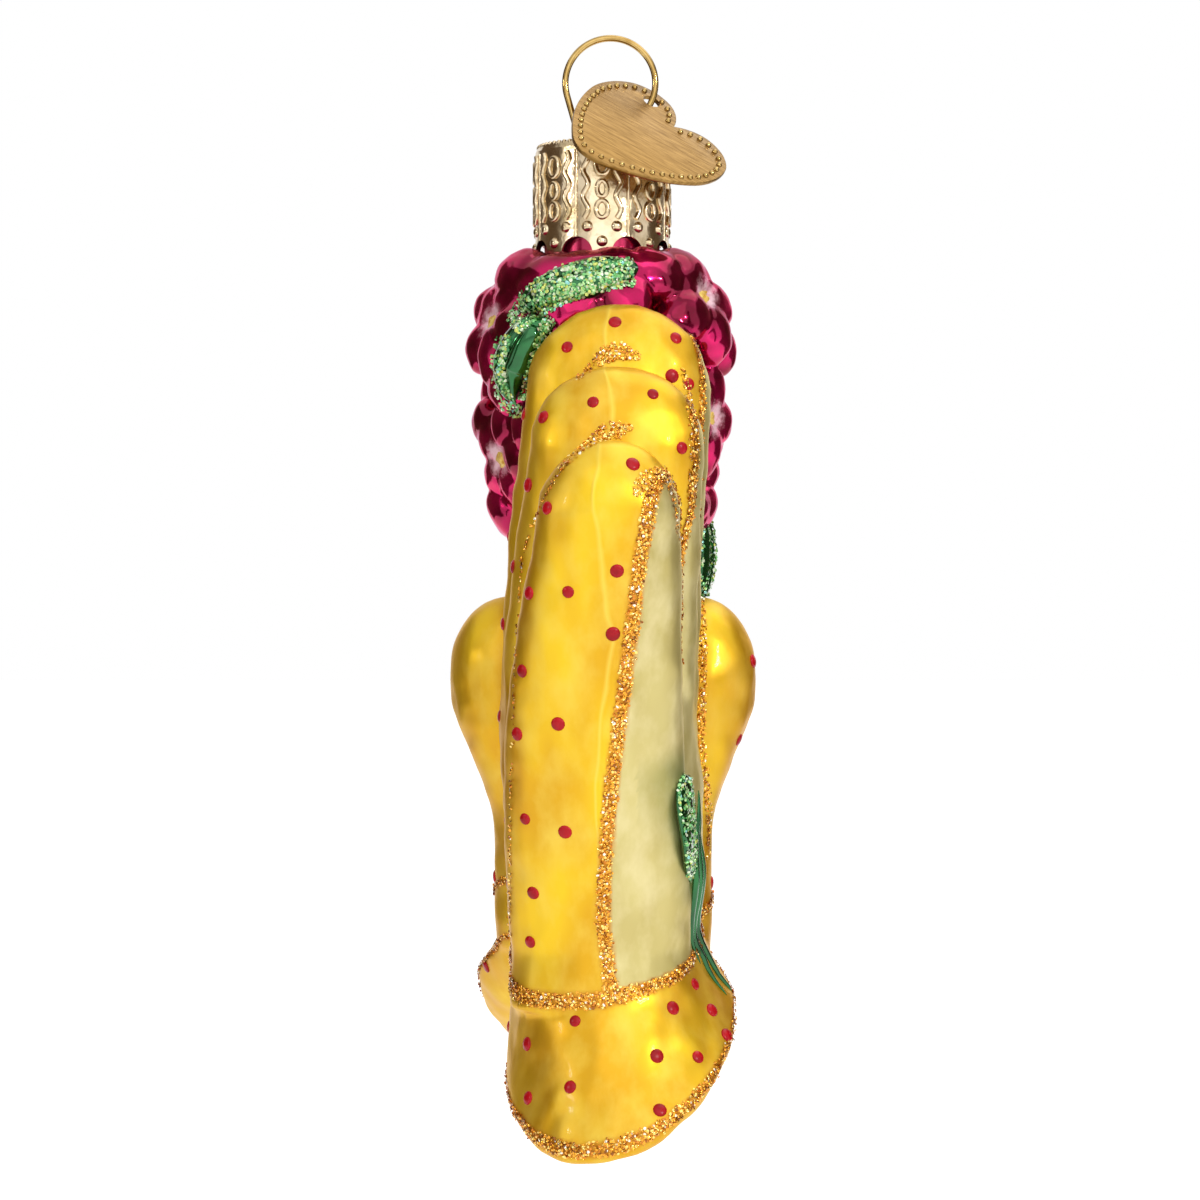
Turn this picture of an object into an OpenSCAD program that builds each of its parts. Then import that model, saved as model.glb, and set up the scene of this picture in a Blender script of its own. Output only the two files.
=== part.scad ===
// Hanging glass ornament: a pair of gardening gloves that holds a bunch of flowers.
// A blown, hollow glass body hangs from a sheet-metal crown cap, whose wire hanger
// springs into the glass neck and carries a heart-shaped tag.

/* [Hanger] */
// Diameter of the hanger wire
wire_d = 0.6; // [0.5:0.05:0.8]
// Inside width of the hanging loop
loop_bore = 7.5; // [7:0.1:9]
// Height of the loop's centre above the cap
loop_rise = 5.7; // [5.4:0.1:6.5]
// Lean of the loop towards the palm side of the near glove, in degrees
loop_lean = 7.5; // [4:0.5:9]
// Distance between the legs where they pass through the cap
leg_pitch = 3.8; // [3.2:0.1:4.4]
// Reach of the spring legs below the top of the cap
leg_len = 13; // [10:0.5:16]
// Gap between a sprung leg and the bore of the glass neck
leg_gap = 0.15; // [0.1:0.05:0.4]

/* [Cap] */
// Outside diameter of the crown cap
cap_d = 12; // [11.6:0.1:14]
// Height of the cap, from its top to the tips of its skirt
cap_h = 10; // [9:0.1:13]
// Thickness of the cap's sheet metal
cap_t = 0.35; // [0.25:0.05:0.5]
// Number of panels round the skirt
cap_panels = 8; // [6:1:10]
// Radius of the arches between the tips of the skirt
arch_r = 1.5; // [1:0.1:1.7]
// Diameter of the pressed beads on the skirt
bead_d = 1.1; // [0.8:0.1:1.3]
// Width of the fold between two panels
fold_w = 0.36; // [0.2:0.02:0.5]
// Clearance round the wire in the cap's two holes
hole_gap = 0.2; // [0.1:0.05:0.3]

/* [Tag] */
// Width of the heart tag
tag_w = 15.1; // [14:0.1:16]
// Thickness of the tag
tag_t = 0.4; // [0.3:0.05:0.5]
// Diameter of the tag's hole
tag_hole_d = 1.6; // [1.5:0.05:1.8]
// Radius of the heart's lower tip
tag_tip_r = 1.2; // [0.5:0.1:2]
// Width of the raised border round the tag
tag_border = 1.0; // [0.6:0.1:1.6]
// Place of the tag on the loop, in degrees below the loop's centre
tag_turn = 26; // [20:1:30]
// Slope of the tag as it leans on the rim of the cap, in degrees
tag_lean = 44; // [36:1:45]
// Turn of the heart in its own plane, in degrees
tag_roll = 73; // [66:1:80]
// Turn of the tag about the upright, in degrees
tag_yaw = 32; // [28:1:36]

/* [Glass] */
// Thickness of the blown glass
glass_t = 1.0; // [0.6:0.1:1.4]
// Outside diameter of the glass neck
neck_d = 10.4; // [9.4:0.1:10.8]
// Thickness of the neck's wall
neck_t = 0.9; // [0.6:0.1:1.2]
// Gap between the rim of the neck and the inside of the cap
rim_gap = 0.05; // [0.02:0.01:0.2]

/* [Flowers] */
// Height of the bunch of flowers
bunch_h = 27; // [24:0.5:32]
// Thickness of the bunch, front to back, under its petals
bunch_t = 17.5; // [16:0.5:20]
// Width of the bunch, from one glove to the other
bunch_w = 20; // [18:0.5:24]
// Diameter of one flower head, over its petals
flower_d = 11; // [9:0.5:12.5]
// Diameter of one petal
petal_d = 5; // [4:0.1:5.4]
// Petals round one flower head
petals = 5; // [5:1:8]
// Thickness of the bundle of stems between the gloves, front to back
bundle_t = 12; // [10:0.5:14]
// Width of the bundle of stems
bundle_w = 7; // [6:0.5:9]
// Width of one thin stem on the palm
stem_d = 0.9; // [0.6:0.1:1.4]
// Length of a leaf
leaf_len = 11; // [9:0.5:13]
// Width of a leaf
leaf_w = 5; // [4:0.5:6.5]

/* [Gloves] */
// Height of the wrist below the tips of the cap's skirt
wrist_drop = 60.6; // [57:0.5:64]
// Reach of the little, ring, middle and index fingers above the wrist
finger_reach = [42.9, 49.6, 55.3, 51];
// Thickness of the four fingers at their tips, palm to back
finger_t = [11.8, 14.2, 15, 13.6];
// Thickness of the hand at the wrist, palm to back
wrist_t = 15.6; // [14:0.2:17]
// Length of the palm, from the wrist to between the fingers
palm_len = 29; // [26:0.5:32]
// Width of the palm at the wrist
palm_w = 17; // [15:0.2:18]
// Swell of the palm towards the knuckles
palm_swell = 0.4; // [0:0.1:1.4]
// Step from finger to finger at the tips
finger_step = 6; // [5.4:0.1:6.8]
// Step from finger to finger at the wrist
root_step = 3; // [2.4:0.1:3.6]
// Width of one finger
finger_w = 7.6; // [7:0.1:8.6]
// Distance of the hand's middle from the ornament's axis at the wrist
wrist_y = 9; // [8.6:0.1:10]
// Distance of the hand's middle from the ornament's axis at the finger tips
tips_y = 15.5; // [14.5:0.1:17]
// Swell of the back of the hand
back_swell = 0.7; // [0:0.1:1.2]
// Curl of the finger tips towards the palm
tip_curl = 0.9; // [0:0.1:1.6]
// Diameter of the thumb's rounded tip
thumb_d = 10.2; // [9:0.1:11]
// Diameter of the thumb's waist
thumb_waist = 7.5; // [6.8:0.1:8.4]
// Reach of the thumb above the wrist
thumb_reach = 29.4; // [27:0.2:32]
// Length of the cuff along its middle
cuff_len = 8.4; // [7:0.2:11]
// Width of the cuff at the wrist
cuff_w = 19.1; // [18:0.1:20]
// Width of the cuff at its hem
hem_w = 25; // [22:0.2:27]
// Thickness of the cuff at its hem, palm to back
hem_t = 19.4; // [17:0.2:22]
// Outward set of the hem from the wrist
hem_out = 1.8; // [1:0.1:3]
// Flare of the hem towards the palm
hem_flare = 1.5; // [0:0.1:3]
// Width of the glitter piping
piping_w = 1.5; // [0.9:0.1:1.8]
// Height of the piping and of the painted sprigs over the glass
relief = 0.46; // [0.3:0.02:0.6]
// Depth of the rounded glass that closes the cuff
cuff_close = 2.4; // [1.5:0.1:4]

/* [Hidden] */
$fn = 48;

// Number of flats round a finger, a thumb, a cuff and the bunch, outside and inside
finger_flats = 12;
cuff_flats = 18;
bunch_flats = 16;
cavity_flats = 6;
hollow_flats = 10;
petal_flats = 7;
leaf_flats = 6;
finger_steps = 3;
cavity_steps = 2;
wire_flats = 8;
loop_steps = 24;
bend_steps = 3;

// Colours of the finishes
gold = [0.80, 0.66, 0.42];
tag_gold = [0.76, 0.58, 0.30];
maroon = [0.50, 0.05, 0.22];
magenta = [0.72, 0.05, 0.32];
pollen = [0.93, 0.80, 0.25];
green = [0.05, 0.38, 0.18];
yellow = [0.95, 0.80, 0.12];
cream = [0.90, 0.86, 0.66];
glitter_gold = [0.80, 0.55, 0.12];

// Hanger: the loop's centre and the hanging point, above the middle of the cap's top
loop_r = (loop_bore + wire_d) / 2;
loop_x = loop_rise * tan(loop_lean);
eye_z = loop_rise + loop_bore / 2;
leg_bend_r = 0.8;
leg_top_z = 0.2;
knee_drop = 1.5;
neck_bore_r = neck_d / 2 - neck_t;
leg_spread_x = neck_bore_r - leg_gap - wire_d / 2 - leg_pitch / 2;

// Tag: size of the heart's square, its hole, and the point of the wire that it hangs on
tag_s = tag_w / (1 + sqrt(0.5));
tag_hole = [-tag_s * 0.4, tag_s * 1.39];
tag_x = loop_x + loop_r * cos(tag_turn);
tag_z = loop_rise - loop_r * sin(tag_turn);

// Flowers: petals round the shoulder, their gap to the cap, and the tilt and splay of the heads
shoulder_count = 8;
skirt_gap = 0.1;
head_tilt = 40;
head_splay = 90;

// Glass: heights measured from the tips of the cap's skirt
shoulder_z = -cap_h;
neck_seat_z = -3.5;
bunch_z = -bunch_h / 2;
wrist_z = -wrist_drop;
palm_mid_y = wrist_y + (tips_y - wrist_y) * 0.55;
palm_round = 9;
// Depth of the hand's seat in the sloping top of the cuff
root_seat = 1.2;
// Where the sprig's outline starts, inside the hand, and a length beyond the whole ornament
sprig_x = 4;
beyond = 100;

// A section of a glass form is [x, y, z, half thickness, half width, slope along x, slope along y]
function level(x, y, z, rx, ry) = [x, y, z, rx, ry, 0, 0];
function ring(s, n) = [
    for (i = [0:n - 1])
        let (x = s[3] * cos(360 * i / n), y = s[4] * sin(360 * i / n))
            [s[0] + x, s[1] + y, s[2] + s[5] * x + s[6] * y]
];

// Joins neighbouring sections into one smooth form
module loft(sections, flats) {
    low = [for (i = [0:flats - 1]) i];
    high = [for (i = [flats - 1:-1:0]) flats + i];
    walls = [for (i = [0:flats - 1]) let (j = (i + 1) % flats) [i, flats + i, flats + j, j]];
    for (k = [0:len(sections) - 2])
        hull() polyhedron(
            concat(ring(sections[k], flats), ring(sections[k + 1], flats)),
            concat([low, high], walls)
        );
}

// Skins all the sections, from the lowest up, as one form that may widen and narrow
module bell(sections, flats) {
    last = len(sections) - 1;
    low = [for (i = [0:flats - 1]) i];
    high = [for (i = [flats - 1:-1:0]) last * flats + i];
    walls = [
        for (k = [0:last - 1], i = [0:flats - 1])
            let (j = (i + 1) % flats, a = k * flats, b = a + flats)
                each [[a + i, b + i, b + j], [a + i, b + j, a + j]]
    ];
    polyhedron([for (s = sections) each ring(s, flats)], concat([low, high], walls));
}

// Sections of a rounded end of height h above section s
function rounded_end(s, h, steps) = [
    for (i = [1:steps])
        let (a = 89.5 * i / steps)
            [s[0], s[1], s[2] + h * sin(a), s[3] * cos(a), s[4] * cos(a), s[5], s[6]]
];

// Places what follows in the frame whose origin is the hanging point
module from_eye() {
    translate([-loop_x, 0, -eye_z]) children();
}

module glass_frame() {
    from_eye() translate([0, 0, shoulder_z]) children();
}

module far_side() {
    rotate([0, 0, 180]) children();
}

// Fingers 0 to 3 are the little, ring, middle and index finger
function finger_y(i, t) =
    let (at_wrist = wrist_y + (1.5 - i) * root_step, at_tip = tips_y + (1.5 - i) * finger_step)
        -(at_wrist + (at_tip - at_wrist) * t);
function finger_x(t) = tip_curl * t * t - back_swell * sin(180 * t);
function finger_section(i, t, dome, wall) =
    let (
        length = finger_reach[i] - dome,
        swell = back_swell * sin(180 * t),
        thick = wrist_t + (finger_t[i] - wrist_t) * t,
        width = finger_w * (1.28 - 0.28 * t)
    )
    level(finger_x(t), finger_y(i, t), wrist_z + length * t,
        thick / 2 + swell - wall, width / 2 - wall);
function finger_sections(i, wall, steps) =
    let (
        dome = finger_t[i] / 2,
        body = [for (k = [0:steps]) finger_section(i, k / steps, dome, wall)],
        root = body[0]
    )
    concat(
        [level(root[0], root[1], root[2] - max(0.2, root_seat - cuff_slope[1] * (root[1] + wrist_y)), root[3], root[4])],
        body,
        rounded_end(body[steps], dome - wall, steps)
    );

// Fills the palm between the roots of the fingers
function palm_section(t, wall) =
    level(-back_swell * t, -wrist_y - (palm_mid_y - wrist_y) * t, wrist_z + (palm_len - palm_round) * t,
        wrist_t / 2 + palm_swell * t - wall, palm_w / 2 + palm_swell * t - wall);
function palm_sections(wall, steps) =
    let (root = palm_section(0, wall), top = palm_section(1, wall))
    concat(
        [level(root[0], root[1], wrist_z - root_seat / 2, root[3], root[4])],
        [for (t = [0, 0.5]) palm_section(t, wall)],
        [top],
        rounded_end(top, palm_round - wall, steps)
    );

module hand_form(wall, flats, steps) {
    intersection() {
        union() {
            for (i = [0:3]) loft(finger_sections(i, wall, steps), flats);
            loft(palm_sections(wall, steps), flats);
        }
        near_half(wall);
    }
}

// The near glove ends at the plane between the gloves
module near_half(wall) {
    translate([-beyond, -2 * beyond - wall, -beyond]) cube([2 * beyond, 2 * beyond, 2 * beyond]);
}

// The thumb stands off the palm, and swings to the ornament's axis, from its root to its tip
thumb_out = [-3.2, -2.4, -1.6, -0.2, 0.9];
thumb_side = [5, 5.8, 6.6, 7.2, 7.2];
function thumb_sections(wall) =
    let (
        tip_r = thumb_d / 2 - wall,
        waist_r = thumb_waist / 2 - wall,
        bulb_z = wrist_z + thumb_reach - thumb_d / 2,
        heights = [wrist_z - 2 + wall, wrist_z + thumb_reach * 0.19, wrist_z + thumb_reach * 0.4, bulb_z - thumb_d / 2, bulb_z],
        radii = [tip_r, waist_r * 1.18, waist_r, tip_r * 0.91, tip_r],
        body = [
            for (k = [0:4])
                level(wrist_t / 2 + thumb_out[k], thumb_side[k] - wrist_y, heights[k], radii[k], radii[k])
        ],
        bulb = body[4]
    )
    concat(
        body,
        rounded_end(bulb, thumb_d / 2 - wall, finger_steps)
    );

module thumb_form(wall, flats) {
    loft(thumb_sections(wall), flats);
}

// The hem slopes down to the outer side and to the back of the hand
cuff_slope = [0.137, 0.39];
hem_slope = [0.31, 0.56];
function cuff_blend(t, wall) =
    let (bell = t * t * 0.5 + t * 0.5)
    [
        0.2 + (hem_flare - 0.2) * bell, -wrist_y - 0.2 - hem_out * bell, wrist_z - cuff_len * t,
        wrist_t / 2 + 0.3 + (hem_t - wrist_t - 0.6) / 2 * bell - wall, (cuff_w + (hem_w - cuff_w) * bell) / 2 - wall,
        cuff_slope[0] + (hem_slope[0] - cuff_slope[0]) * t,
        cuff_slope[1] + (hem_slope[1] - cuff_slope[1]) * t
    ];
function shrunk(s, f, dz) = [s[0], s[1], s[2] + dz, s[3] * f, s[4] * f, s[5], s[6]];
function cuff_sides(wall) =
    let (hem = cuff_blend(1, wall), close = cuff_close - wall)
    concat(
        [for (a = [80, 54, 26]) shrunk(hem, cos(a), -close * sin(a))],
        [for (k = [3:-1:0]) cuff_blend(k / 3, wall)]
    );

module cuff_form(grow) {
    intersection() {
        bell(concat(cuff_sides(-grow), [shrunk(cuff_blend(0, -grow), 0.97, 0.4)]), cuff_flats);
        near_half(-grow);
    }
}

// The hollow of the cuff runs up through its top, into the hand
module cuff_hollow() {
    top = cuff_blend(0, glass_t);
    intersection() {
        bell(concat(cuff_sides(glass_t), [shrunk(top, 1, 3 * glass_t)]), hollow_flats);
        near_half(glass_t);
    }
}

function bunch_sections(wall) = [
    for (a = [-86, -65, -45, -25, 0, 25, 45, 65, 86])
        level(0, 0, bunch_z + (bunch_h / 2 - wall) * sin(a),
            (bunch_t / 2 - wall) * cos(a), (bunch_w / 2 - wall) * cos(a))
];

// Places of the flower heads on the front: shares of the bunch's half width and height, and stand-off
flower_places = [[-0.46, -0.17, -0.2], [0.44, -0.25, -0.4], [-0.4, -0.54, -0.3], [0.42, -0.64, -0.6]];
function core_x(y, z) =
    bunch_t / 2 * sqrt(max(0.06, 1 - pow(2 * y / bunch_w, 2) - pow((z - bunch_z) * 2 / bunch_h, 2)));

module at_flower(p) {
    y = p[0] * bunch_w / 2;
    z = p[1] * bunch_h;
    translate([core_x(y, z) + p[2], y, z])
        rotate([0, 90 - head_tilt * (2 * p[1] + 1), head_splay * p[0]]) children();
}

module flower_head() {
    ring_r = (flower_d - petal_d) / 2;
    for (i = [0:petals - 1])
        rotate([0, 0, 360 * i / petals]) translate([ring_r, 0, 0]) sphere(d = petal_d, $fn = petal_flats);
    translate([0, 0, -petal_d]) cylinder(r = ring_r, h = petal_d * 1.3, $fn = petal_flats);
}

module flower_heads() {
    for (p = flower_places) at_flower(p) flower_head();
}

// Petals round the shoulder, close under the cap
module shoulder_petals() {
    for (i = [0:shoulder_count - 1])
        rotate([0, 0, 360 * i / shoulder_count])
            translate([cap_d / 2 + petal_d * 0.2, 0, -petal_d / 2 - skirt_gap]) sphere(d = petal_d, $fn = petal_flats);
}

module bunch_form() {
    loft(bunch_sections(0), bunch_flats);
    shoulder_petals();
    flower_heads();
    far_side() flower_heads();
}

module neck_post(d) {
    translate([0, 0, neck_seat_z]) cylinder(d = d, h = cap_h);
}

// All that is hollow: every form less the thickness of the glass, and the bore below the neck
module cavity() {
    for (turn = [0, 180])
        rotate([0, 0, turn]) {
            hand_form(glass_t, cavity_flats, cavity_steps);
            thumb_form(glass_t, cavity_flats);
            cuff_hollow();
        }
    loft(bunch_sections(glass_t * 1.6), cavity_flats);
    translate([0, 0, bunch_z]) cylinder(r = neck_bore_r, h = bunch_h);
}

module both_gloves() {
    glove_form(0);
    far_side() glove_form(0);
}

// The cream leather covers the palm side: a leaning edge on the little finger, a face on the others
palm_edge = [-0.3, 4.4];
palm_face_x = 6.2;
module palm_region() {
    edge_top = wrist_z + finger_reach[0];
    edge_low = wrist_z - 2.6;
    groove_low = (finger_y(0, 0) + finger_y(1, 0)) / 2;
    groove_high = (finger_y(0, 1) + finger_y(1, 1)) / 2;
    hull()
        for (p = [[palm_edge[0], edge_low, groove_low], [palm_edge[1], edge_top, groove_high]])
            for (x = [p[0], beyond], y = [-beyond, p[2]]) translate([x, y, p[1]]) cube(0.01);
    translate([palm_face_x, -beyond, -beyond]) cube(beyond);
}

// The wire runs from the foot of one leg, over the loop, to the foot of the other
function toward(a, b, d) = a + (b - a) * d / norm(b - a);
function bend(a, b, c) =
    let (p = toward(b, a, leg_bend_r), q = toward(b, c, leg_bend_r))
        [for (i = [0:bend_steps]) let (t = i / bend_steps) p * pow(1 - t, 2) + b * 2 * t * (1 - t) + q * t * t];
function leg_top(side) = [side * leg_pitch / 2, leg_top_z];
function leg_knee(side) = [side * leg_pitch / 2, -cap_t - knee_drop];
function leg_foot(side) = [side * (leg_pitch / 2 + leg_spread_x), -leg_len];
function loop_point(a) = [loop_x + loop_r * cos(a), loop_rise + loop_r * sin(a)];
// Angle on the loop, below its centre, where a straight side leaves it
function side_slope(side) =
    let (dx = side * loop_x - leg_pitch / 2, dz = loop_rise - leg_top_z)
        atan2(dx, dz) + asin(loop_r / norm([dx, dz]));
function wire_path() =
    let (
        from = -side_slope(1),
        to = 180 + side_slope(-1),
        arc = [for (i = [0:loop_steps]) loop_point(from + (to - from) * i / loop_steps)]
    )
    concat(
        [leg_foot(1)], bend(leg_foot(1), leg_knee(1), leg_top(1)), bend(leg_knee(1), leg_top(1), arc[0]), arc,
        bend(arc[loop_steps], leg_top(-1), leg_knee(-1)), bend(leg_top(-1), leg_knee(-1), leg_foot(-1)), [leg_foot(-1)]
    );

// Sweeps a round wire along points of the plane y = 0
module wire(path) {
    last = len(path) - 1;
    points = [
        for (k = [0:last])
            let (d = path[min(k + 1, last)] - path[max(k - 1, 0)], n = [-d[1], d[0]] / norm(d))
                for (i = [0:wire_flats - 1])
                    let (a = 360 * i / wire_flats, out = path[k] + n * cos(a) * wire_d / 2)
                        [out[0], sin(a) * wire_d / 2, out[1]]
    ];
    walls = [
        for (k = [0:last - 1], i = [0:wire_flats - 1])
            let (j = (i + 1) % wire_flats, low = k * wire_flats, high = low + wire_flats)
                each [[low + i, high + j, high + i], [low + i, low + j, high + j]]
    ];
    first_end = [for (i = [wire_flats - 1:-1:0]) i];
    last_end = [for (i = [0:wire_flats - 1]) last * wire_flats + i];
    polyhedron(points, concat([first_end, last_end], walls));
}

module hanger_wire() {
    color(gold) from_eye() wire(wire_path());
}

module cap_profile() {
    shoulder = 0.7;
    r = cap_d / 2;
    polygon([
        [0, 0], [r - shoulder, 0], [r - 0.2, -0.2], [r, -shoulder], [r, -cap_h],
        [r - cap_t, -cap_h], [r - cap_t, -cap_t], [0, -cap_t]
    ]);
}

module skirt_beads() {
    seat_r = cap_d / 2 - bead_d * 0.22;
    side_turn = 2 * asin(bead_d * 1.2 / cap_d);
    for (i = [0:cap_panels - 1])
        for (b = [[0, 0.75], [side_turn, 1.95], [-side_turn, 1.95]])
            rotate([0, 0, 360 * i / cap_panels + b[0]]) translate([seat_r, 0, b[1] * bead_d - cap_h])
                sphere(d = bead_d);
}

module crown_cap() {
    color(gold) from_eye() difference() {
        union() {
            rotate_extrude() cap_profile();
            skirt_beads();
        }
        translate([0, 0, -cap_h - 1]) cylinder(d = cap_d - 2 * cap_t, h = cap_h + 1 - cap_t);
        for (side = [-1, 1])
            translate([side * leg_pitch / 2, 0, -1]) cylinder(d = wire_d + 2 * hole_gap, h = 2);
        for (i = [0:cap_panels - 1])
            rotate([0, 0, 360 * (i + 0.5) / cap_panels]) {
                translate([0, 0, -cap_h - 0.2]) rotate([0, 90, 0]) cylinder(r = arch_r, h = cap_d);
                translate([cap_d / 2 + fold_w * 0.2, 0, -cap_h]) cylinder(d = fold_w, h = cap_h - 1);
            }
    }
}

// Outline of a heart on a square of side s, with its lower tip at the origin
module heart(s, tip_r) {
    rotate(45) {
        translate([tip_r, tip_r]) circle(r = tip_r);
        translate([tip_r, 0]) square([s - tip_r, s]);
        translate([0, tip_r]) square([s, s - tip_r]);
        translate([s / 2, s]) circle(d = s);
        translate([s, s / 2]) circle(d = s);
    }
}

module heart_tag() {
    inner = tag_s - tag_border * 1.7;
    recess = tag_t * 0.25;
    color(tag_gold) from_eye() translate([tag_x, 0, tag_z])
        rotate([0, 0, tag_yaw]) rotate([-tag_lean, 0, 0]) rotate([0, tag_roll, 0]) rotate([90, 0, 0])
            translate([-tag_hole[0], -tag_hole[1], -tag_t / 2]) difference() {
                linear_extrude(tag_t) heart(tag_s, tag_tip_r);
                translate([0, tag_border * 1.35, tag_t - recess])
                    linear_extrude(tag_t) heart(inner, tag_tip_r * 0.6);
                translate([tag_hole[0], tag_hole[1], -1]) cylinder(d = tag_hole_d, h = 3);
            }
}

module glass_neck() {
    rim_z = cap_h - cap_t - rim_gap;
    color(maroon) glass_frame() difference() {
        translate([0, 0, neck_seat_z]) cylinder(d = neck_d, h = rim_z - neck_seat_z);
        translate([0, 0, neck_seat_z - 1]) cylinder(r = neck_bore_r, h = rim_z - neck_seat_z + 2);
    }
}

module flower_bunch() {
    color(magenta) glass_frame() difference() {
        bunch_form();
        both_gloves();
        cavity();
        neck_post(neck_d / cos(180 / $fn));
        flower_heart_balls();
    }
}

module flower_heart_balls() {
    for (turn = [0, 180])
        rotate([0, 0, turn])
            for (p = flower_places) at_flower(p) translate([0, 0, petal_d * 0.4])
                sphere(d = petal_d * 0.8, $fn = leaf_flats);
}

module flower_hearts() {
    color(pollen) glass_frame() flower_heart_balls();
}

// A leaf lies along X, with its broad middle, its pointed end and a raised back
leaf_ribs = [[0, 0.3], [0.32, 1], [0.64, 0.85], [1, 0.14]];
module leaf(length, width) {
    for (k = [0:len(leaf_ribs) - 2])
        hull()
            for (rib = [leaf_ribs[k], leaf_ribs[k + 1]])
                translate([rib[0] * length, 0, 0]) scale([1, 1, 0.45]) sphere(d = width * rib[1], $fn = leaf_flats);
}

// Leaves of one face: root, turns about x, y and the upright, and share of the full size
leaf_places = [
    [[-bunch_t * 0.34, -bunch_w * 0.47, -bunch_h * 0.2], [70, -17, -6], [0.9, 0.72]],
    [[-bunch_t * 0.26, -bunch_w * 0.48, -bunch_h * 0.21], [62, 62, 168], [0.95, 0.9]],
    [[bunch_t * 0.53, -bunch_w * 0.06, -bunch_h * 0.9], [0, 82, 8], [0.9, 0.9]]
];

module leaves() {
    for (turn = [0, 180])
        rotate([0, 0, turn])
            for (p = leaf_places)
                translate(p[0]) rotate([0, 0, p[1][2]]) rotate([0, p[1][1], 0]) rotate([p[1][0], 0, 0])
                    leaf(leaf_len * p[2][0], leaf_w * p[2][1]);
}

module bouquet_leaves() {
    color(green) glass_frame() difference() {
        leaves();
        bunch_form();
        both_gloves();
    }
}

// The bundle starts between the wrists and ends inside the bunch
bundle_seat = 3;
bundle_rise = 3;
function bundle_sections() = [
    for (t = [0:0.125:1])
        let (waist = 0.66 + 0.34 * t)
            level(0, 0, wrist_z + bundle_seat + t * (wrist_drop - bunch_h + bundle_rise), bundle_t / 2 * waist, bundle_w / 2 * waist)
];

module bundle_form() {
    loft(bundle_sections(), finger_flats);
}

module stem_bundle() {
    color(green) glass_frame() difference() {
        bundle_form();
        both_gloves();
        bunch_form();
        leaves();
    }
}

// Raised work on a glove: what an outline covers of a form grown by the relief
module glove_form(grow) {
    hand_form(-grow, finger_flats, finger_steps);
    thumb_form(-grow, finger_flats);
    cuff_form(grow);
}

// A leaf and three thin stems lie on the palm, beside the thumb and down to the hem:
// place across and height of each stem's top, then of its foot
stem_lines = [[0.8, 12.5, 4.4, -5.6], [2.6, 11.5, 5.8, -4.6], [4.2, 10, 7.2, -3.6]];
function stem_corner(line, k, side) = [line[k] - wrist_y + side * stem_d, wrist_z + line[k + 1]];
module sprig_outline() {
    translate([0.4 - wrist_y, wrist_z + 9.6]) scale([0.36, 1]) circle(d = leaf_len * 0.9, $fn = 12);
    for (line = stem_lines)
        polygon([stem_corner(line, 0, 0), stem_corner(line, 0, 1), stem_corner(line, 2, 1), stem_corner(line, 2, 0)]);
}

// The part of the palm that the stems cross, in one piece
module sprig_field() {
    first = stem_lines[0];
    last = stem_lines[2];
    translate([sprig_x, 0, 0]) rotate([90, 0, 90]) linear_extrude(beyond)
        polygon([stem_corner(first, 0, 0), stem_corner(last, 0, 1), [0, wrist_z], [0, stem_corner(last, 2, 0)[1]],
            stem_corner(first, 2, 0)]);
}

module sprig() {
    difference() {
        intersection() {
            glove_form(relief);
            sprig_block();
        }
        glove_form(0);
        far_side() glove_form(0);
    }
}

module near_sprig() {
    color(green) glass_frame() sprig();
}

module far_sprig() {
    color(green) glass_frame() far_side() sprig();
}

// Glitter piping: a raised band round the wrist and another round the hem
module cuff_band(t) {
    half = piping_w / cuff_len / 2;
    bell([cuff_blend(t + half, -relief * 0.4), cuff_blend(t, -relief), cuff_blend(t - half, -relief * 0.4)],
        cuff_flats);
}

module piping() {
    difference() {
        intersection() {
            union() {
                cuff_band(0);
                cuff_band(1);
            }
            near_half(relief);
        }
        glove_form(0);
        far_side() glove_form(0);
        sprig_field();
    }
}

module sprig_block() {
    translate([sprig_x, 0, 0]) rotate([90, 0, 90]) linear_extrude(beyond) sprig_outline();
}

module near_piping() {
    color(glitter_gold) glass_frame() piping();
}

module far_piping() {
    color(glitter_gold) glass_frame() far_side() piping();
}

module hand_shell() {
    difference() {
        hand_form(0, finger_flats, finger_steps);
        cuff_form(0);
        cavity();
    }
}

module palm_shell() {
    intersection() {
        hand_shell();
        palm_region();
    }
}

module back_shell() {
    difference() {
        hand_shell();
        palm_region();
    }
}

module thumb_shell() {
    difference() {
        thumb_form(0, finger_flats);
        for (turn = [0, 180])
            rotate([0, 0, turn]) {
                hand_form(0, finger_flats, finger_steps);
                cuff_form(0);
            }
        thumb_form(glass_t, cavity_flats);
    }
}

module cuff_shell() {
    difference() {
        cuff_form(0);
        cuff_hollow();
    }
}

module near_hand() {
    color(yellow) glass_frame() back_shell();
}

module near_palm() {
    color(cream) glass_frame() palm_shell();
}

module near_thumb() {
    color(yellow) glass_frame() thumb_shell();
}

module near_cuff() {
    color(yellow) glass_frame() cuff_shell();
}

module far_hand() {
    color(yellow) glass_frame() far_side() back_shell();
}

module far_palm() {
    color(cream) glass_frame() far_side() palm_shell();
}

module far_thumb() {
    color(yellow) glass_frame() far_side() thumb_shell();
}

module far_cuff() {
    color(yellow) glass_frame() far_side() cuff_shell();
}

hanger_wire();
crown_cap();
heart_tag();
glass_neck();
flower_bunch();
flower_hearts();
bouquet_leaves();
stem_bundle();
near_hand();
near_palm();
near_thumb();
near_cuff();
near_sprig();
near_piping();
far_hand();
far_palm();
far_thumb();
far_cuff();
far_sprig();
far_piping();
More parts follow.
